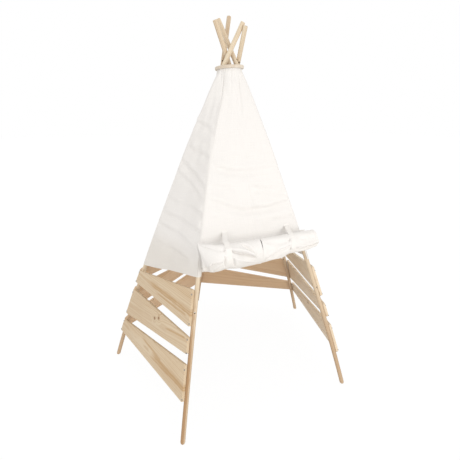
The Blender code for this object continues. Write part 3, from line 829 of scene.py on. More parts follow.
class Maker(Nodes):
    """A Geometry Nodes tree with named inputs."""

    def __init__(self, name):
        super().__init__(bpy.data.node_groups.new(name, "GeometryNodeTree"))
        for way in ("INPUT", "OUTPUT"):
            self.tree.interface.new_socket("Geometry", in_out=way, socket_type="NodeSocketGeometry")
        self.start = self.tree.nodes.new("NodeGroupInput")
        self.end = self.tree.nodes.new("NodeGroupOutput")

    def ask(self, name, kind, default=None):
        socket = self.tree.interface.new_socket(name, in_out="INPUT", socket_type="NodeSocket" + kind)
        if default is not None:
            socket.default_value = default
        return self.start.outputs[name]

    def finish(self, geometry, material):
        whole = self.add("GeometryNodeRealizeInstances", inputs={"Geometry": geometry})
        coloured = self.add("GeometryNodeSetMaterial", inputs={"Geometry": whole, "Material": material})
        self.feed(self.end.inputs["Geometry"], coloured)
        return self.tree


def run_maker(obj, tree, values):
    """Runs a tree on an object and leaves its result as a plain mesh."""
    modifier = obj.modifiers.new(tree.name, "NODES")
    modifier.node_group = tree
    for item in tree.interface.items_tree:
        if item.in_out == "INPUT" and item.name in values:
            modifier[item.identifier] = values[item.name]
    apply_modifier(obj, modifier)


def screw_tree():
    """A countersunk head with a cross recess on every point, turned to the point's own direction."""
    maker = Maker("Countersunk screws")
    radius = maker.ask("Head radius", "Float", 0.004)
    depth = maker.ask("Head depth", "Float", 0.003)
    recess = maker.ask("Recess width", "Float", 0.0011)
    material = maker.ask("Finish", "Material")
    head = maker.add("GeometryNodeMeshCone", outlet="Mesh", inputs={
        "Vertices": 20, "Radius Top": radius, "Radius Bottom": 0.0015, "Depth": depth})
    length = maker.add("ShaderNodeMath", operation="MULTIPLY", inputs={0: radius, 1: 1.25})
    rise = maker.add("ShaderNodeCombineXYZ", inputs={2: depth})
    cut = maker.add("GeometryNodeMeshBoolean", operation="DIFFERENCE", inputs={"Mesh 1": head})
    for first, second in ((length, recess), (recess, length)):
        size = maker.add("ShaderNodeCombineXYZ", inputs={0: first, 1: second, 2: 0.0026})
        slot = maker.add("GeometryNodeMeshCube", outlet="Mesh", inputs={"Size": size})
        lifted = maker.add("GeometryNodeTransform", inputs={"Geometry": slot, "Translation": rise})
        maker.feed(cut.node.inputs["Mesh 2"], lifted)
    sink = maker.add("ShaderNodeMath", operation="MULTIPLY", inputs={0: depth, 1: -1.0})
    drop = maker.add("ShaderNodeCombineXYZ", inputs={2: sink})
    placed = maker.add("GeometryNodeTransform", inputs={"Geometry": cut, "Translation": drop})
    facing = maker.add("GeometryNodeInputNamedAttribute", data_type="FLOAT_VECTOR",
                       inputs={"Name": "facing"})
    turn = maker.add("FunctionNodeAlignRotationToVector", axis="Z", inputs={"Vector": facing})
    spin = maker.add("FunctionNodeRandomValue", outlet=1, data_type="FLOAT", inputs={
        2: 0.0, 3: 1.5, "Seed": 5})
    own = maker.add("ShaderNodeCombineXYZ", inputs={2: spin})
    own = maker.add("FunctionNodeEulerToRotation", inputs={0: own})
    turn = maker.add("FunctionNodeRotateRotation", rotation_space="LOCAL",
                     inputs={"Rotation": turn, "Rotate By": own})
    points = maker.add("GeometryNodeInstanceOnPoints", inputs={
        "Points": maker.start.outputs["Geometry"], "Instance": placed, "Rotation": turn})
    return maker.finish(points, material)


def stitch_tree():
    """Short stitches at an even pitch along every line, lying along it."""
    maker = Maker("Stitch rows")
    pitch = maker.ask("Pitch", "Float", 0.0042)
    length = maker.ask("Stitch length", "Float", 0.003)
    thickness = maker.ask("Thread thickness", "Float", 0.0007)
    material = maker.ask("Thread", "Material")
    line = maker.add("GeometryNodeMeshToCurve", inputs={"Mesh": maker.start.outputs["Geometry"]})
    even = maker.add("GeometryNodeResampleCurve", mode="LENGTH", inputs={"Curve": line, "Length": pitch})
    tangent = maker.add("GeometryNodeInputTangent")
    turn = maker.add("FunctionNodeAlignRotationToVector", axis="X", inputs={"Vector": tangent})
    bead = maker.add("GeometryNodeMeshUVSphere", outlet="Mesh", inputs={
        "Segments": 6, "Rings": 4, "Radius": 0.5})
    shape = maker.add("ShaderNodeCombineXYZ", inputs={0: length, 1: thickness, 2: thickness})
    turned = maker.add("GeometryNodeTransform", inputs={"Geometry": bead, "Rotation": (0, math.pi / 2, 0)})
    sized = maker.add("GeometryNodeTransform", inputs={"Geometry": turned, "Scale": shape})
    points = maker.add("GeometryNodeInstanceOnPoints", inputs={
        "Points": even, "Instance": sized, "Rotation": turn})
    return maker.finish(points, material)


def add_screws():
    places, facing = [], []
    for _, board in all_boards():
        for place in board.screw_places():
            places.append(place + board.normal * 0.0001 + TENT_SHIFT)
            facing.append(board.normal)
    mesh = bpy.data.meshes.new("board_screws")
    mesh.from_pydata(np.array(places).tolist(), [], [])
    set_vectors(mesh, "facing", facing)
    obj = add_object("board_screws", mesh)
    run_maker(obj, screw_tree(), {"Head radius": SCREW_HEAD_RADIUS, "Head depth": SCREW_HEAD_DEPTH,
                                  "Finish": finish_material("Zinc screw")})
    smooth_faces(obj.data, 30)
    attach(obj, "frame")


def add_stitches(name, lines):
    """Rows of stitches along lines of points on the cover."""
    vertices, edges = [], []
    for line in lines:
        first = len(vertices)
        vertices.extend((np.asarray(line) + TENT_SHIFT).tolist())
        edges.extend((first + step, first + step + 1) for step in range(len(line) - 1))
    mesh = bpy.data.meshes.new(name)
    mesh.from_pydata(vertices, edges, [])
    obj = add_object(name, mesh)
    cloth = bpy.context.scene.play_tent_cloth
    thread = finish_material("Sewing thread")
    run_maker(obj, stitch_tree(), {"Pitch": cloth.stitch_pitch, "Thread": thread})
    obj.data.shade_smooth()
    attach(obj, "frame")


# Hoop

def add_hoop():
    sides = 128
    low, high = HOOP_HEIGHT, HOOP_HEIGHT + HOOP_THICKNESS
    inner, outer = HOOP_BORE_RADIUS + 0.0012, HOOP_OUTER_RADIUS + 0.0012
    ease, small = HOOP_EASE, HOOP_EASE / 3
    profile = []
    corners = ((outer - ease, high - ease, ease), (inner + ease, high - ease, ease),
               (inner + small, low + small, small), (outer - ease, low + ease, ease))
    for quarter, (radius, height, size) in enumerate(corners):
        for step in range(6):
            angle = (quarter + step / 5) * math.pi / 2
            profile.append((radius + size * math.cos(angle), height + size * math.sin(angle)))
    radius, height = np.array(profile).T
    angles = np.arange(sides) * FULL_TURN / sides
    vertices = np.concatenate([around(radius, angle, height) for angle in angles])
    vertices[:, 2] += vertices[:, :2] @ HOOP_TILT_WAY * math.tan(HOOP_TILT) - HOOP_SINK
    index = np.arange(len(vertices)).reshape(sides, -1)
    after = np.roll(index, -1, 0)
    faces = np.stack((index, after, np.roll(after, -1, 1), np.roll(index, -1, 1)), -1).reshape(-1, 4)
    obj = add_piece("hoop_ring", vertices, faces.tolist(), finish_material("Hoop wood"), 50)
    tidy_mesh(obj.data, 0.000001)
    points = mesh_points(obj.data) - TENT_SHIFT
    along, across = turned(points[:, 0], points[:, 1], math.radians(35))
    set_vectors(obj.data, "grain", np.stack((along + 41.0, across + 0.11, points[:, 2] - low + 0.02), 1))
    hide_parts("top_hoop")
    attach(obj, "frame")


# Cover

def cloth_slack(height):
    """How far the cloth lies off the poles, which is more where it is gathered."""
    loose = smooth(1.2, 1.45, height) - smooth(1.77, 1.85, height)
    return CONTACT_GAP + COVER_GATHER * loose


def seam_lift(height):
    """How far the front left seam stands out from the band round the poles, below the hoop."""
    return 0.022 * smooth(1.42, 1.62, height) * (1 - smooth(1.74, 1.835, height))


def taut_reach(angle, height, lifted=True):
    """How far from the tent's axis a band pulled tight round the poles lies."""
    shape = np.broadcast(angle, height).shape
    angle = np.broadcast_to(angle, shape).ravel()
    height = np.broadcast_to(height, shape).ravel()
    poles = list(POLES.values())
    centres = [pole.axis(height)[:, :2] for pole in poles]
    radii = [POLE_RADIUS / pole.rise(height)[:, 2] + cloth_slack(height) for pole in poles]
    if lifted:
        seam = seam_angle(POLES["front_left"], height)
        reach = taut_reach(seam, height, False) + seam_lift(height) - 0.003
        centres.append(around(reach, seam, height)[:, :2])
        radii.append(np.full(len(height), 0.003))
    turns = [np.full(len(angle), turn) for turn in np.arange(120) * FULL_TURN / 120]
    for one in range(len(centres)):
        for two in range(one + 1, len(centres)):
            gap = centres[two] - centres[one]
            distance = np.hypot(gap[:, 0], gap[:, 1])
            base = np.arctan2(gap[:, 1], gap[:, 0])
            lean = np.arccos(np.clip((radii[one] - radii[two]) / distance, -1, 1))
            turns += [base + lean, base - lean]
    best = np.full(len(angle), 1e9)
    for turn in turns:
        dx, dy = np.cos(turn), np.sin(turn)
        support = np.full(len(angle), -1e9)
        for centre, radius in zip(centres, radii):
            support = np.maximum(support, centre[:, 0] * dx + centre[:, 1] * dy + radius)
        facing = np.cos(turn - angle)
        reach = np.where(facing > 0.05, support / np.maximum(facing, 0.05), 1e9)
        best = np.minimum(best, reach)
    return best.reshape(shape)


def outside_poles(angle, height):
    """How far out the poles reach along each line from the tent's axis."""
    reach = np.zeros(angle.shape)
    for pole in POLES.values():
        centre = pole.axis(height)
        size = POLE_RADIUS / pole.rise(height)[..., 2] + 0.0002
        along, aside = turned(centre[..., 0], centre[..., 1], angle)
        edge = along + np.sqrt(np.maximum(size ** 2 - aside ** 2, 0))
        reach = np.where(np.abs(aside) < size, np.maximum(reach, edge), reach)
    return reach


def seam_angle(pole, height):
    """Where round the tent's axis a seam runs: over its pole, and evenly spaced below the hoop."""
    point = pole.axis(height)
    over_pole = np.arctan2(point[..., 1], point[..., 0])
    even = math.atan2(pole.foot[1], pole.foot[0])
    turn = np.remainder(even - over_pole + math.pi, FULL_TURN) - math.pi
    return over_pole + turn * smooth(1.2, 1.85, height)


PANELS = {
    "cover_front": ("front_left", "front_right", FRONT_HEM, FRONT_HEM),
    "cover_right": ("front_right", "right", HEM_AT_WIDE_END, HEM_AT_NARROW_END),
    "cover_back_right": ("right", "back", HEM_AT_NARROW_END, HEM_AT_WIDE_END),
    "cover_back_left": ("back", "left", HEM_AT_WIDE_END, HEM_AT_NARROW_END),
    "cover_left": ("left", "front_left", HEM_AT_NARROW_END, HEM_AT_WIDE_END),
}

# Each fold: its line as (share across the panel, height) points, its depth and its half width
FOLDS = {
    "cover_front": (
        (((0.03, 1.334), (0.3, 1.309), (0.6, 1.302), (1.0, 1.318)), 0.0052, 0.014),
        (((0.0, 1.240), (0.16, 1.228), (0.3, 1.221)), 0.0034, 0.014),
        (((0.66, 1.214), (0.82, 1.206), (1.0, 1.200)), 0.0044, 0.014),
        (((0.05, 1.166), (0.25, 1.124), (0.46, 1.100), (0.75, 1.103), (1.0, 1.132)), 0.0080, 0.014),
        (((0.78, 1.040), (1.0, 1.046)), 0.0036, 0.014),
    ),
    "cover_left": (
        (((0.0, 1.352), (0.35, 1.305), (0.7, 1.262), (1.0, 1.224)), 0.0068, 0.014),
        (((0.1, 1.564), (0.5, 1.545), (1.0, 1.512)), 0.0038, 0.012),
        (((0.2, 1.418), (0.6, 1.404), (1.0, 1.386)), 0.0048, 0.012),
        (((0.05, 1.282), (0.45, 1.236), (0.85, 1.180)), 0.0038, 0.013),
        (((0.1, 1.124), (0.5, 1.112), (1.0, 1.100)), 0.0060, 0.013),
        (((0.05, 1.040), (0.5, 1.028), (1.0, 1.012)), 0.0050, 0.013),
        (((0.04, 0.968), (0.4, 0.957), (0.7, 0.940), (1.0, 0.904)), 0.0058, 0.013),
        (((0.05, 0.860), (0.4, 0.858), (0.8, 0.849)), 0.0040, 0.014),
    ),
}


def panel_folds(name):
    """The measured folds of the panels that are seen, and like ones for the others."""
    if name in FOLDS:
        return FOLDS[name]
    rng = np.random.default_rng(sum(ord(letter) for letter in name))
    folds = []
    for height in np.arange(0.86, 1.6, 0.083):
        start = height + rng.uniform(-0.03, 0.03)
        tilt = rng.uniform(-0.07, 0.07)
        bend = rng.uniform(-0.03, -0.004)
        first, last = rng.uniform(0.0, 0.25), rng.uniform(0.75, 1.0)
        places = np.linspace(first, last, 5)
        line = [(u, start + tilt * u + bend * math.sin(math.pi * u)) for u in places]
        fade = 1 - 0.5 * max(0.0, (height - 1.2) / 0.4)
        folds.append((tuple(line), rng.uniform(0.003, 0.0066) * fade, rng.uniform(0.010, 0.015)))
    return tuple(folds)


def fold_drop(name, across, height):
    """How far the panel's folds fall in, at each of its points."""
    total = np.zeros(across.shape)
    wander = ripple(across, height, 11, low=0.8, high=2.2) * 0.004
    for line, depth, width in panel_folds(name):
        places, heights = np.array(line).T
        centre = np.interp(across, places, heights)
        fine = (np.interp(across - 0.04, places, heights) + np.interp(across + 0.04, places, heights)) / 2
        offset = (height - (centre + fine) / 2 + wander) / (width * 1.3)
        swell = 0.95 + 0.45 * ripple(across, height * 0.4, int(centre[0, 0] * 1000), low=0.5, high=1.2)
        ends = smooth(places[0] - 0.08, places[0] + 0.07, across)
        if places[-1] < 1.0:
            ends = ends * (1 - smooth(places[-1] - 0.07, places[-1] + 0.08, across))
        valley, crest, belly = bell(offset, 0, 1), bell(offset, 1.7, 1.1), bell(offset, -2.3, 1.6)
        total += depth * swell * ends * (valley - 0.62 * crest - 0.3 * belly)
    return total


# Pleats below the hoop: (share across at 1.84, at 1.64, lowest, highest, depth, half width)
PLEATS = {
    "cover_front": (
        (0.80, 0.66, 1.62, 1.81, 0.0062, 0.045),
        (0.30, 0.34, 1.72, 1.84, 0.0032, 0.045),
        (0.55, 0.52, 1.68, 1.84, 0.0028, 0.040),
    ),
    "cover_left": (
        (0.90, 0.93, 1.70, 1.815, 0.0075, 0.055),
        (0.45, 0.50, 1.73, 1.84, 0.0026, 0.090),
    ),
}


def panel_pleats(name):
    """The pleats of the panels that are seen, and like ones for the others."""
    if name in PLEATS:
        return PLEATS[name]
    rng = np.random.default_rng(len(name) + 40)
    pleats = []
    for place in (0.2, 0.52, 0.82):
        top = place + rng.uniform(-0.06, 0.06)
        low = rng.uniform(1.6, 1.72)
        pleats.append((top, top + rng.uniform(-0.08, 0.08), low, 1.84, rng.uniform(0.002, 0.0045),
                       rng.uniform(0.045, 0.075)))
    return tuple(pleats)


def gathers(name, across, height):
    """How far the upright pleats below the hoop fall in."""
    total = np.zeros(across.shape)
    for top, bottom, low, high, depth, width in panel_pleats(name):
        centre = bottom + (top - bottom) * (height - 1.64) / 0.2
        ends = smooth(low - 0.05, low + 0.05, height) * (1 - smooth(high - 0.03, high + 0.02, height))
        total += depth * ends * bell(across, centre, width)
    return total


def panel_drop(name, across, height, above_hem, seam_distance):
    """How far in from the taut band a panel hangs, with its sag, folds and pleats."""
    cloth = bpy.context.scene.play_tent_cloth
    straight_hem = name == "cover_front"
    held = smooth(0.004, 0.030, seam_distance)
    belly = np.sin(math.pi * across) ** 2 * (1 - smooth(1.2, 1.5, height))
    if straight_hem:
        belly = belly * smooth(0, 0.15, above_hem)
    sag = cloth.sag * belly
    drop = sag + held * fold_drop(name, across, height) * (cloth.fold_depth / LISTED_FOLD_DEPTH)
    if straight_hem:
        middle = np.interp(height, (0.99, 1.07, 1.14, 1.30), (0.567, 0.565, 0.59, 0.564))
        drop = drop + 0.0022 * bell(across, middle, 0.012) * (1 - smooth(1.22, 1.34, height))
        drop = sag + (drop - sag) * smooth(0.0, 0.03, above_hem)
    drop = drop + smooth(0.001, 0.012, seam_distance) * gathers(name, across, height)
    soft = ripple(across * 0.9, height * 1.6, len(name) + 3, low=1.5, high=4.5)
    soft = held * 0.0014 * soft * (1 - smooth(1.6, 1.84, height))
    if straight_hem:
        soft = soft * smooth(0.0, 0.05, above_hem)
    return (drop + soft) * (1 - smooth(COVER_TOP - 0.014, COVER_TOP, height) * 0.55)


def panel_grid(name):
    """The panel's surface, its pattern coordinates, its taut area and its width up to each point."""
    first, second, first_hem, second_hem = PANELS[name]
    first_pole, second_pole = POLES[first], POLES[second]
    even = np.linspace(0, 1, PANEL_COLUMNS)
    across = even - 0.72 * np.sin(FULL_TURN * even) / FULL_TURN
    across = np.broadcast_to(across, (PANEL_ROWS, PANEL_COLUMNS))
    rows = np.linspace(0, 1, PANEL_ROWS)[:, None]
    hem = first_hem + (second_hem - first_hem) * across
    height = hem + (COVER_TOP - hem) * rows
    start, end = seam_angle(first_pole, height), seam_angle(second_pole, height)
    span = np.remainder(end - start, FULL_TURN)
    margin = SEAM_GAP / 20 / (taut_reach(start, height) * span)
    inside = margin + (1 - 2 * margin) * across
    angle = start + span * inside
    cone = COVER_TOP_RADIUS + COVER_TOP_SLOPE * (COVER_TOP - height)
    tight = np.maximum(taut_reach(angle, height), cone)

    taut = around(tight, angle, height)
    seam_distance = np.minimum(np.linalg.norm(taut - taut[:, :1], axis=-1),
                               np.linalg.norm(taut - taut[:, -1:], axis=-1))
    drop = panel_drop(name, across, height, height - hem, seam_distance)
    reach = np.maximum(tight - drop, outside_poles(angle, height))
    grid = around(reach, angle, height)

    steps = np.linalg.norm(np.diff(taut, axis=1), axis=-1)
    width = np.concatenate((np.zeros((PANEL_ROWS, 1)), np.cumsum(steps, axis=1)), axis=1)
    weave = np.stack((width - width[:, -1:] / 2, height * CLOTH_LENGTH_SHARE), -1) + len(name)
    return grid, weave, grid_area(taut), width


def hem_share(below):
    """1 in a turned-up hem and 0 above it, by the height over its edge."""
    return 1 - smooth(HEM_STRIP - 0.003, HEM_STRIP + 0.001, below)


def add_panel(name):
    """One panel of the cover, with felled seams over its poles and a turned-up hem."""
    grid, weave, area, width = panel_grid(name)
    cloth = bpy.context.scene.play_tent_cloth
    total = width[:, -1:]
    edge = np.minimum(width, total - width)
    strip = 1 - smooth(SEAM_STRIP - 0.0012, SEAM_STRIP + 0.0006, edge)
    hem = hem_share(grid[..., 2] - grid[:1, :, 2])
    thickness = cloth.thickness * (1 + 0.75 * np.maximum(strip, hem))
    shown = name.replace("cover_", "canvas_")
    obj = add_sheet(shown, grid, thickness, weave, finish_material("Cotton canvas"))
    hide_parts(name)
    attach(obj, "frame")
    return grid, thickness, width


def seam_rows(grid, thickness, width):
    """Two stitched rows beside each seam and one above the hem."""
    outer = grid + sheet_normals(grid) * (thickness[..., None] + 0.0001)
    rows = np.linspace(0.4, PANEL_ROWS - 2.0, 500)
    lines = []
    for distance in SEAM_STITCHES:
        for from_right in (False, True):
            columns = []
            for row in rows:
                run = width[int(row)]
                target = run[-1] - distance if from_right else distance
                columns.append(np.interp(target, run, np.arange(PANEL_COLUMNS)))
            lines.append(grid_line(outer, rows, np.array(columns)))
    columns = np.linspace(1, PANEL_COLUMNS - 2, 400)
    height = outer[:, :, 2] - outer[:1, :, 2]
    target = HEM_STRIP - HEM_STITCHES
    rows = [np.interp(target, height[:, int(column)], np.arange(PANEL_ROWS)) for column in columns]
    lines.append(grid_line(outer, np.array(rows), columns))
    return lines


# Door leaves

class Doorway:
    """The level line that the door leaves hang from, with its directions along and outward."""

    def __init__(self):
        self.pair = (POLES["front_left"], POLES["front_right"])
        left, right = (pole.axis(HINGE_HEIGHT) for pole in self.pair)
        self.along = unit(right - left)
        self.outward = np.cross(self.along, (0.0, 0.0, 1.0))
        self.origin = np.array((0.0, 0.0, HINGE_HEIGHT))
        self.origin = self.origin + self.outward * self.face(0.0, 0.0)

    def face(self, along, up):
        """How far out a band pulled tight over the front poles lies."""
        ends = []
        for pole in self.pair:
            point = pole.axis(HINGE_HEIGHT + up) - self.origin
            rise = pole.rise(HINGE_HEIGHT + up)
            radius = POLE_RADIUS * math.hypot(1, rise.dot(self.outward) / rise[2])
            ends.append((point.dot(self.along), point.dot(self.outward) + radius + CONTACT_GAP))
        (start, first), (end, second) = ends
        return first + (second - first) * (along - start) / (end - start)

    def slope(self, along):
        drop = 2 * ROLL_RIGHT_RADIUS
        return (self.face(along, -drop) - self.face(along, 0.0)) / drop

    def place(self, along, outward, up):
        along, outward, up = np.broadcast_arrays(along, outward, up)
        point = self.along * along[..., None] + self.outward * outward[..., None]
        return self.origin + point + np.array((0, 0, 1.0)) * up[..., None]


def roll_radius(along):
    share = np.clip((along - ROLL_LEFT_END) / (ROLL_RIGHT_END - ROLL_LEFT_END), 0, 1)
    radius = ROLL_LEFT_RADIUS + (ROLL_RIGHT_RADIUS - ROLL_LEFT_RADIUS) * share ** 1.5
    for tie in (LEFT_TIE, RIGHT_TIE):
        radius = radius - TIE_PINCH * bell(along, tie, 0.035)
    return radius


def roll_depth(along):
    """The roll's depth as a share of its round section's, less at its slack left end."""
    share = np.clip((along - ROLL_LEFT_END) / ROLL_END_LENGTH, 0, 1)
    return 1 - ROLL_END_FLATNESS * (1 - share) ** 2


def roll_centre(along, door):
    share = (along - ROLL_LEFT_END) / (ROLL_RIGHT_END - ROLL_LEFT_END)
    up = ROLL_TOP_RISE - roll_radius(along) - ROLL_SAG * 4 * share * (1 - share)
    slope = door.slope(along)
    clear = roll_radius(along) + CAD_CLOTH + 2 * CONTACT_GAP
    return -up * slope + clear * np.sqrt(1 + slope ** 2), up


# Creases on the rolled cloth: points (along, angle), depth and half width; the angle is 0 at the
# back and a quarter turn at the top
ROLL_CREASES = (
    (((-0.160, 2.17), (-0.118, 2.35), (-0.082, 2.51), (-0.032, 2.90)), 0.0270, 0.0078),
    (((-0.158, 2.62), (-0.105, 2.86), (-0.050, 3.20)), -0.0090, 0.0100),
    (((-0.100, 1.68), (-0.074, 2.07), (-0.042, 2.50)), 0.0125, 0.0080),
    (((-0.276, 3.60), (-0.262, 3.25), (-0.244, 2.97), (-0.214, 2.80)), 0.0170, 0.0080),
    (((-0.283, 2.90), (-0.276, 3.50), (-0.262, 4.10)), 0.0101, 0.0083),
    (((-0.240, 3.60), (-0.222, 3.20), (-0.205, 3.00)), 0.0078, 0.0064),
    (((-0.196, 2.45), (-0.196, 2.80), (-0.195, 3.30)), 0.0109, 0.0041),
    (((-0.193, 1.96), (-0.194, 2.12)), 0.0101, 0.0037),
    (((-0.157, 2.70), (-0.152, 3.00), (-0.148, 3.40)), 0.0078, 0.0055),
    (((-0.285, 1.60), (-0.240, 1.80), (-0.200, 2.05)), 0.0075, 0.0100),
    (((0.040, 3.40), (0.074, 3.16), (0.118, 2.84), (0.180, 2.72)), 0.0140, 0.0100),
    (((0.030, 3.58), (0.085, 3.75), (0.150, 3.95)), 0.0093, 0.0074),
    (((0.050, 1.90), (0.110, 2.15), (0.170, 2.20)), 0.0062, 0.0120),
    (((0.182, 2.05), (0.181, 2.25)), 0.0109, 0.0037),
    (((0.187, 2.95), (0.187, 3.15)), 0.0109, 0.0041),
    (((0.222, 3.12), (0.283, 3.13), (0.345, 3.10)), 0.0200, 0.0072),
    (((0.230, 3.70), (0.300, 3.80), (0.350, 3.60)), 0.0078, 0.0074),
    (((0.250, 2.15), (0.300, 2.30), (0.340, 2.35)), 0.0070, 0.0110),
)


def crease_drop(along, angle, radius):
    """How far the creases fall in on the outer turn."""
    total = np.zeros(np.broadcast(along, angle).shape)
    for points, depth, width in ROLL_CREASES:
        nearest = np.full(total.shape, 1e9)
        side = np.zeros(total.shape)
        share = np.zeros(total.shape)
        for index, ((a0, t0), (a1, t1)) in enumerate(zip(points, points[1:])):
            way_along, way_round = a1 - a0, (t1 - t0) * MEAN_ROLL_RADIUS
            length = math.hypot(way_along, way_round)
            first, second = along - a0, (angle - t0) * radius
            run = np.clip((first * way_along + second * way_round) / length ** 2, 0, 1)
            off_along, off_round = first - way_along * run, second - way_round * run
            distance = np.hypot(off_along, off_round)
            closer = distance < nearest
            nearest = np.where(closer, distance, nearest)
            way_side = (way_along * off_round - way_round * off_along) / length
            side = np.where(closer, way_side, side)
            share = np.where(closer, (index + run) / (len(points) - 1), share)
        taper = 0.35 + 0.65 * np.sin(math.pi * np.clip(share, 0.02, 0.98)) ** 0.6
        above = np.where(side < 0, nearest, -nearest)
        valley = bell(nearest, 0, width * taper * np.where(above > 0, 0.8, 1.45))
        crest = bell(above, 2.0 * width, 1.2 * width)
        total += depth * taper * (valley - 0.45 * crest)
    return total


def leaf_spiral(along, door, turn, layer_gap):
    """(outward, up) of a leaf's cloth at an angle of turn from its back, under and over its roll."""
    outward, up = roll_centre(along, door)
    radius = roll_radius(along)
    turns = turn / FULL_TURN
    stair = np.floor(turns) + smooth(0.70, 1.0, turns - np.floor(turns))
    over = FULL_TURN - np.remainder(turn, FULL_TURN)
    ridge = 0.5 - 0.5 * np.cos(3 * over + 9 * along)
    front = 0.5 - 0.5 * np.cos(over)
    outer = 1 - smooth(0.8, 1.3, turns)
    loose = ripple(along * 7, turns * 1.3, 5, low=0.5, high=1.6) * 0.0042 * smooth(0.7, 1.5, turns)
    reach = radius - 0.0012 + 0.0022 * (1 - smooth(0.0, 0.8, turn)) - layer_gap * stair
    reach = reach - ROLL_FOLD * ridge * front - outer * crease_drop(along, over, radius)
    reach = np.maximum(reach - loose, 0.004)
    slope = door.slope(along)
    angle = math.pi - np.arctan(slope) + turn
    height = up + reach * np.sin(angle) - 0.72 * layer_gap * stair
    back = (CAD_CLOTH + 2 * CONTACT_GAP) * np.sqrt(1 + slope ** 2) - height * slope
    return back + (outward + reach * np.cos(angle) - back) * roll_depth(along), height


def end_shift(run, side, outer_edge, inner_edge):
    """How far the leaf's ends wander along the roll, over the length of its cloth."""
    first_turn = 1 - smooth(0.42, 0.62, run)
    front = bell(run, 0.32, 0.10) * first_turn
    split = -0.010 * front * smooth(0.7, 1.0, inner_edge)
    right, left = 0.001 + 0.020 * bell(run, 0.20, 0.07), -(0.003 + 0.015 * bell(run, 0.32, 0.09))
    outer = (right if side > 0 else left) * smooth(0.55, 1.0, outer_edge)
    return split + outer * smooth(0.1, 0.25, run) * (0.3 + 0.7 * first_turn)


def leaf_rows():
    """Places along a leaf's cloth from its hinge, closer together on the outer turn."""
    outer = LEAF_LENGTH / 2
    return np.concatenate((np.linspace(0, outer, 208), np.linspace(outer, LEAF_LENGTH, 91)[1:]))


def leaf_section(places, door):
    """(outward, up) of the rolled cloth, row by row from its hinge, at each place along the roll."""
    turn = np.linspace(0, 5.2 * FULL_TURN, 2600)
    lines = []
    for place in places:
        gap = float(roll_radius(place)) ** 2 * math.pi / 0.92
        outward, up = leaf_spiral(np.full(len(turn), place), door, turn, gap)
        tail_up = np.linspace(LEAF_START, up[0], 24)[:-1]
        lean = (up[0] - tail_up) / (up[0] - LEAF_START)
        tail_out = -tail_up * door.slope(place) + 0.0002
        tail_out = tail_out + (outward[0] - (-up[0] * door.slope(place) + 0.0002)) * (1 - lean) ** 2
        tail_out = tail_out + LEAF_LAP * (1 - smooth(0.0030, 0.0120, LEAF_START - tail_up))
        line = np.stack((np.concatenate((tail_out, outward)), np.concatenate((tail_up, up))), 1)
        run = run_length(line)
        lines.append(np.stack([np.interp(leaf_rows(), run, line[:, axis]) for axis in range(2)], 1))
    return np.stack(lines, 1)


def leaf_grid(start, end, door, side):
    """A rolled leaf: rows run along its cloth from the hinge inwards, columns along its roll."""
    share = np.linspace(0, 1, LEAF_COLUMNS)[None, :]
    places = start + (end - start) * share
    section = leaf_section(places[0], door)
    run = leaf_rows()[:, None]
    outer_edge = 1 - share if side < 0 else share
    inner_edge = 1 - outer_edge
    wave = ripple(run * 9, run * 0, 21 + side, low=0.4, high=1.3)
    push = 0.0016 * wave * smooth(0.75, 1.0, inner_edge) * smooth(0.01, 0.1, run)
    gap = smooth(0.9, 1.0, inner_edge) * (0.0008 * smooth(0.12, 0.2, run) - 0.0015)
    along = places + push + side * gap + end_shift(run, side, outer_edge, inner_edge)
    curl = 0.0022 * ripple(run * 8, share * 0.3, 31 + side, low=0.6, high=1.6)
    curl = curl * np.maximum(smooth(0.93, 1.0, inner_edge), smooth(0.93, 1.0, outer_edge))
    grid = door.place(along, section[..., 0], section[..., 1])
    grid = grid - sheet_normals(grid) * curl[..., None] * smooth(0.05, 0.2, run)[..., None]
    weave = np.stack(np.broadcast_arrays(along, -run), -1)
    return grid[:, ::-1], weave + 3.0


def add_leaf(name, node, body, start, end, door, side):
    cloth = bpy.context.scene.play_tent_cloth
    grid, weave = leaf_grid(start, end, door, side)
    share = np.linspace(0, 1, LEAF_COLUMNS)[None, :]
    edge = np.minimum(share, 1 - share) * (end - start)
    strip = 1 - smooth(0.0125, 0.015, edge)
    hem = smooth(LEAF_LENGTH - 0.022, LEAF_LENGTH - 0.02, leaf_rows()[:, None])
    thickness = cloth.thickness * (1 + 0.9 * np.maximum(strip, hem))
    obj = add_sheet(name, grid, thickness, weave, finish_material("Cotton canvas"))
    tidy_mesh(obj.data, 0.0000001)
    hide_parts(node)
    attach(obj, body)


# Tapes

def tape_path(tie, door):
    """(outward, up) of a tape: sewn on the panel, over the front of the roll and up behind it."""
    panel = [(float(door.face(tie, up)) + 0.0030, up) for up in (0.047, 0.041, 0.035)]
    outward, up = (float(value) for value in roll_centre(tie, door))
    turn = np.linspace(FULL_TURN * 0.995, 0.42, 160)
    roll_outward, roll_up = leaf_spiral(np.full(len(turn), tie), door, turn, 0.0)
    normal_out, normal_up = roll_outward - outward, roll_up - up
    size = np.hypot(normal_out, normal_up)
    lift = 0.0022
    loop = np.stack((roll_outward + normal_out / size * lift, roll_up + normal_up / size * lift), 1)
    start = np.array(panel[-1])
    way = loop - start
    slope = np.arctan2(way[:, 1], way[:, 0])
    near = int(np.argmax(slope[20:90])) + 20
    shares = np.linspace(0, 1, 12)[1:-1, None]
    free = start + (loop[near] - start) * shares - np.array((0, 0.0035)) * np.sin(math.pi * shares)
    slope_back = float(door.slope(tie))
    back = [(-rise * slope_back - 0.0022, rise) for rise in np.linspace(-0.075, -0.014, 14)]
    path = np.concatenate((panel, free, loop[near:], back))
    run = run_length(path)
    wanted = np.linspace(0, run[-1], 220)
    even = np.stack([np.interp(wanted, run, path[:, axis]) for axis in range(2)], 1)
    for _ in range(4):
        even[1:-1] = (even[:-2] + 2 * even[1:-1] + even[2:]) / 4
    return even


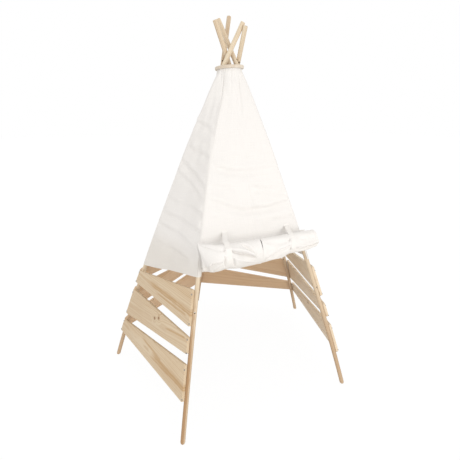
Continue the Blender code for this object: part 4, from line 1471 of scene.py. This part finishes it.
def add_tape(name, node, tie, door, top_shift):
    cloth = bpy.context.scene.play_tent_cloth
    path = tape_path(tie, door)
    run = run_length(path)[:, None]
    share = np.linspace(-0.5, 0.5, 14)[None, :]
    width = cloth.tape_width * (1 - 0.10 * bell(run, 0.11, 0.03))
    drift = top_shift * (1 - smooth(0.0, 0.14, run))
    wander = 0.002 * np.sin(run * 23 + tie * 9)
    along = tie + drift + wander + share * width
    cup = 0.0007 * np.sin(run * 60 + tie) * share * 2
    grid = door.place(along, path[:, :1] + cup, path[:, 1:])
    weave = np.stack(np.broadcast_arrays(share * cloth.tape_width, run), -1)
    edge = (0.5 - np.abs(share)) * cloth.tape_width
    thickness = cloth.tape_thickness * (1 + 0.5 * (1 - smooth(0.0012, 0.0022, edge)))
    obj = add_sheet(name, grid, thickness, weave, finish_material("Cotton tape"))
    tidy_mesh(obj.data, 0.0000001)
    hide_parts(node)
    start = door.place(tie, path[3, 0], path[3, 1]) + TENT_SHIFT
    end = door.place(tie, path[3, 0] + 0.02, path[3, 1] - 0.025) + TENT_SHIFT
    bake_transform(obj)


def add_facing(name, pole_name, way, reach):
    """The cloth's front edge below the front panel, turned round its pole towards the doorway."""
    pole = POLES[pole_name]
    cloth = bpy.context.scene.play_tent_cloth
    heights = np.linspace(HEM_AT_WIDE_END, FRONT_HEM - 0.0005, 60)
    height, turn = np.meshgrid(heights, np.linspace(0.04, reach, 40), indexing="ij")
    radius = POLE_RADIUS + CONTACT_GAP + 0.0012 * smooth(0.6, 1.0, turn / reach)
    side = radius / pole.rise(height)[..., 2]
    angle = seam_angle(pole, height) + way * turn
    grid = pole.axis(height) + around(side, angle, 0.0)
    if way < 0:
        grid = grid[:, ::-1]
    weave = np.stack((turn * POLE_RADIUS, height), -1) + 9.0
    thickness = cloth.thickness * (1 + 0.75 * hem_share(height - HEM_AT_WIDE_END))
    obj = add_sheet(name, grid, thickness, weave, finish_material("Cotton canvas"))
    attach(obj, "frame")


# Stage

CAMERA_PLACE = Vector((-0.8181, -1.9305, 1.5931))
CAMERA_YAW = math.radians(23.8131)
CAMERA_PITCH = math.radians(-18.6049)
CAMERA_ROLL = math.radians(0.209)
CAMERA_SENSOR = 36.0
CAMERA_LENS = 26.107
CAMERA_SHIFT = (-0.00034, 0.00069)


def add_camera():
    camera = bpy.data.cameras.new("camera")
    camera.sensor_fit = "HORIZONTAL"
    camera.sensor_width = CAMERA_SENSOR
    camera.lens = CAMERA_LENS
    camera.shift_x, camera.shift_y = CAMERA_SHIFT
    obj = add_object("camera", camera)
    flat = math.cos(CAMERA_PITCH)
    forward = Vector((math.sin(CAMERA_YAW) * flat, math.cos(CAMERA_YAW) * flat, math.sin(CAMERA_PITCH)))
    right = Vector((math.cos(CAMERA_YAW), -math.sin(CAMERA_YAW), 0))
    up = right.cross(forward)
    side = right * math.cos(CAMERA_ROLL) + up * math.sin(CAMERA_ROLL)
    top = up * math.cos(CAMERA_ROLL) - right * math.sin(CAMERA_ROLL)
    pose = Matrix((side, top, -forward)).transposed().to_4x4()
    pose.translation = CAMERA_PLACE
    obj.matrix_world = pose
    bpy.context.scene.camera = obj


def add_lamp(name, place, target, size, power, colour):
    lamp = bpy.data.lights.new(name, "AREA")
    lamp.shape = "SQUARE"
    lamp.size = size
    lamp.energy = power
    lamp.color = colour
    way = Vector(target) - Vector(place)
    pose = way.to_track_quat("-Z", "Y").to_matrix().to_4x4()
    pose.translation = Vector(place)
    add_object(name, lamp).matrix_world = pose


def white_where_seen(nodes, plain, white, outlet):
    """The white shader for the camera and in reflections, and the plain one for the light itself."""
    rays = nodes.add("LightPath").node.outputs
    seen = rays["Is Camera Ray"]
    for name in ("Is Glossy Ray", "Is Transmission Ray"):
        seen = nodes.add("Math", operation="MAXIMUM", inputs={0: seen, 1: rays[name]})
    nodes.feed(outlet, nodes.add("MixShader", inputs={0: seen, 1: plain, 2: white}))


def set_world(strength):
    world = bpy.data.worlds.new("studio")
    bpy.context.scene.world = world
    world.use_nodes = True
    nodes = Nodes(world.node_tree, "ShaderNode")
    plain = world.node_tree.nodes["Background"]
    nodes.feed(plain.inputs["Color"], (1.0, 0.985, 0.965, 1))
    nodes.feed(plain.inputs["Strength"], strength)
    white = nodes.add("Background", inputs={"Color": (1, 1, 1, 1), "Strength": 1.0})
    outlet = world.node_tree.nodes["World Output"].inputs["Surface"]
    white_where_seen(nodes, plain.outputs[0], white, outlet)


def add_floor():
    size, level = 30.0, -0.0005
    mesh = bpy.data.meshes.new("floor")
    corners = [(-size, -size, level), (size, -size, level), (size, size, level), (-size, size, level)]
    mesh.from_pydata(corners, [], [(0, 1, 2, 3)])
    graph = Graph("Pale floor")
    place = graph.add("TexCoord", outlet="Object")
    speck = graph.noise(place, (40, 40, 40), 4.0)
    tone = graph.mix(speck, (0.83, 0.83, 0.83, 1), (0.86, 0.86, 0.86, 1))
    graph.surface(tone, 0.8)
    plain = graph.shader.outputs[0]
    white = graph.add("Emission", inputs={"Strength": 1.03})
    blend = graph.add("MixShader", inputs={0: 0.92, 1: plain, 2: white})
    white_where_seen(graph, plain, blend, graph.tree.nodes["Material Output"].inputs["Surface"])
    mesh.materials.append(graph.material)
    add_object("floor", mesh)


# Settings

def colour_setting(name, description, colour):
    return FloatVectorProperty(name=name, description=description, subtype="COLOR", size=3, min=0, max=1,
                               default=colour)


def length_setting(name, description, length, least, most):
    return FloatProperty(name=name, description=description, default=length, min=least, max=most,
                         unit="LENGTH", precision=5)


class PlayTentWood(bpy.types.PropertyGroup):
    """Colours of the wooden parts."""

    pole_colour: colour_setting("Poles", "Pale wood of the poles", (0.87, 0.767, 0.59))
    # Late wood of the poles and their darker side, which is partly painted shade
    heart_and_shade_colour: colour_setting("Heartwood", "Darker side of the poles", (0.41, 0.225, 0.095))
    board_colour: colour_setting("Boards", "Pale wood of the boards", (0.73, 0.60, 0.43))
    ring_colour: colour_setting("Growth rings", "Late wood in the boards' rings", (0.50, 0.31, 0.14))
    knot_colour: colour_setting("Knots", "Heart of the boards' knots", (0.33, 0.17, 0.08))
    hoop_colour: colour_setting("Hoop", "Wood of the turned hoop", (0.81, 0.735, 0.63))


class PlayTentCloth(bpy.types.PropertyGroup):
    """Sizes and colours of the canvas and tapes."""

    canvas_colour: colour_setting("Canvas", "Colour of the cover and door", (0.893, 0.872, 0.85))
    tape_colour: colour_setting("Tape", "Colour of the door's tapes", (0.90, 0.876, 0.848))
    thread_colour: colour_setting("Thread", "Colour of the stitching", (0.86, 0.83, 0.77))
    thickness: length_setting("Cloth thickness", "Thickness of one layer of canvas", 0.0009, 0.0004, 0.0016)
    sag: length_setting("Sag", "How far a panel hangs in between its poles", 0.014, 0.0, 0.03)
    fold_depth: length_setting("Fold depth", "Depth of a panel's strongest fold", 0.0115, 0.0, 0.015)
    stitch_pitch: length_setting("Stitch pitch", "Distance from stitch to stitch", 0.00497, 0.002, 0.01)
    tape_width: length_setting("Tape width", "Width of the door's tapes", 0.030, 0.01, 0.05)
    tape_thickness: length_setting("Tape thickness", "Thickness of the door's tapes", 0.0011, 0.0005, 0.002)


class PlayTentStage(bpy.types.PropertyGroup):
    """Light on the tent."""

    sky: FloatProperty(name="Soft light", description="Light from all round", default=0.90, min=0, max=2)
    key: FloatProperty(name="Key lamp", description="Lamp in front on the right", default=48, min=0,
                       max=2000, unit="POWER")


# Operators

class PLAYTENT_OT_poles(bpy.types.Operator):
    """Add the five pine poles with their drilled holes"""

    bl_idname = "playtent.poles"
    bl_label = "Poles"

    def execute(self, context):
        for seed, (name, pole) in enumerate(POLES.items(), start=1):
            add_pole(name, pole, seed)
        return {"FINISHED"}


class PLAYTENT_OT_boards(bpy.types.Operator):
    """Add the twelve tapered boards"""

    bl_idname = "playtent.boards"
    bl_label = "Boards"

    def execute(self, context):
        for seed, (node, board) in enumerate(all_boards(), start=1):
            add_board(node, board, seed)
        return {"FINISHED"}


class PLAYTENT_OT_screws(bpy.types.Operator):
    """Add the countersunk screws at the ends of the boards"""

    bl_idname = "playtent.screws"
    bl_label = "Screws"

    def execute(self, context):
        add_screws()
        return {"FINISHED"}


class PLAYTENT_OT_hoop(bpy.types.Operator):
    """Add the turned hoop on top of the cover"""

    bl_idname = "playtent.hoop"
    bl_label = "Hoop"

    def execute(self, context):
        add_hoop()
        return {"FINISHED"}


class PLAYTENT_OT_cover(bpy.types.Operator):
    """Add the five panels of the canvas cover and their stitching"""

    bl_idname = "playtent.cover"
    bl_label = "Cover"

    def execute(self, context):
        lines = []
        for name in PANELS:
            lines += seam_rows(*add_panel(name))
        add_stitches("cover_stitches", lines)
        add_facing("canvas_left_facing", "front_left", way=1, reach=2.6)
        add_facing("canvas_right_facing", "front_right", way=-1, reach=0.9)
        return {"FINISHED"}


class PLAYTENT_OT_door(bpy.types.Operator):
    """Add both rolled door leaves and the tapes that hold them up"""

    bl_idname = "playtent.door"
    bl_label = "Door"

    def execute(self, context):
        door = Doorway()
        add_leaf("rolled_leaf_left", "door_roll_left", "left_leaf", ROLL_LEFT_END,
                 ROLL_SPLIT - HALF_SLIT, door, side=-1)
        add_leaf("rolled_leaf_right", "door_roll_right", "right_leaf", ROLL_SPLIT + HALF_SLIT,
                 ROLL_RIGHT_END - RIGHT_END_SHORT, door, side=1)
        add_tape("tape_left", "door_tie_left", LEFT_TIE, door, top_shift=0.036)
        add_tape("tape_right", "door_tie_right", RIGHT_TIE, door, top_shift=0.03)
        return {"FINISHED"}


class PLAYTENT_OT_stage(bpy.types.Operator):
    """Set the floor, the soft light and the camera"""

    bl_idname = "playtent.stage"
    bl_label = "Stage"

    def execute(self, context):
        light = context.scene.play_tent_stage
        add_floor()
        set_world(light.sky)
        add_lamp("key_lamp", (0.6, -4.4, 2.0), (0, -0.1, 1.0), 2.2, light.key, (1.0, 0.985, 0.96))
        add_lamp("fill_lamp", (-3.0, -2.8, 1.3), (0.2, 0, 0.6), 2.0, light.key * 0.2, (1.0, 0.97, 0.96))
        add_camera()
        context.scene.view_settings.view_transform = "Standard"
        return {"FINISHED"}


class PLAYTENT_PT_panel(bpy.types.Panel):
    """Lists the tent's pieces and settings"""

    bl_label = "Play Tent"
    bl_space_type = "VIEW_3D"
    bl_region_type = "UI"
    bl_category = "Play Tent"

    def draw(self, context):
        scene = context.scene
        for operator in OPERATORS:
            self.layout.operator(operator.bl_idname)
        for settings in (scene.play_tent_wood, scene.play_tent_cloth, scene.play_tent_stage):
            box = self.layout.box()
            for name in settings.__annotations__:
                box.prop(settings, name)


SETTINGS = {
    "play_tent_wood": PlayTentWood,
    "play_tent_cloth": PlayTentCloth,
    "play_tent_stage": PlayTentStage,
}
OPERATORS = (
    PLAYTENT_OT_poles,
    PLAYTENT_OT_boards,
    PLAYTENT_OT_screws,
    PLAYTENT_OT_hoop,
    PLAYTENT_OT_cover,
    PLAYTENT_OT_door,
    PLAYTENT_OT_stage,
)


def register():
    for name, settings in SETTINGS.items():
        bpy.utils.register_class(settings)
        setattr(bpy.types.Scene, name, PointerProperty(type=settings))
    for each in (*OPERATORS, PLAYTENT_PT_panel):
        bpy.utils.register_class(each)


def unregister():
    for each in (PLAYTENT_PT_panel, *reversed(OPERATORS)):
        bpy.utils.unregister_class(each)
    for name, settings in reversed(SETTINGS.items()):
        delattr(bpy.types.Scene, name)
        bpy.utils.unregister_class(settings)


def main():
    register()
    bpy.ops.playtent.poles()
    bpy.ops.playtent.boards()
    bpy.ops.playtent.screws()
    bpy.ops.playtent.hoop()
    bpy.ops.playtent.cover()
    bpy.ops.playtent.door()
    bpy.ops.playtent.stage()


if __name__ == "__main__":
    main()
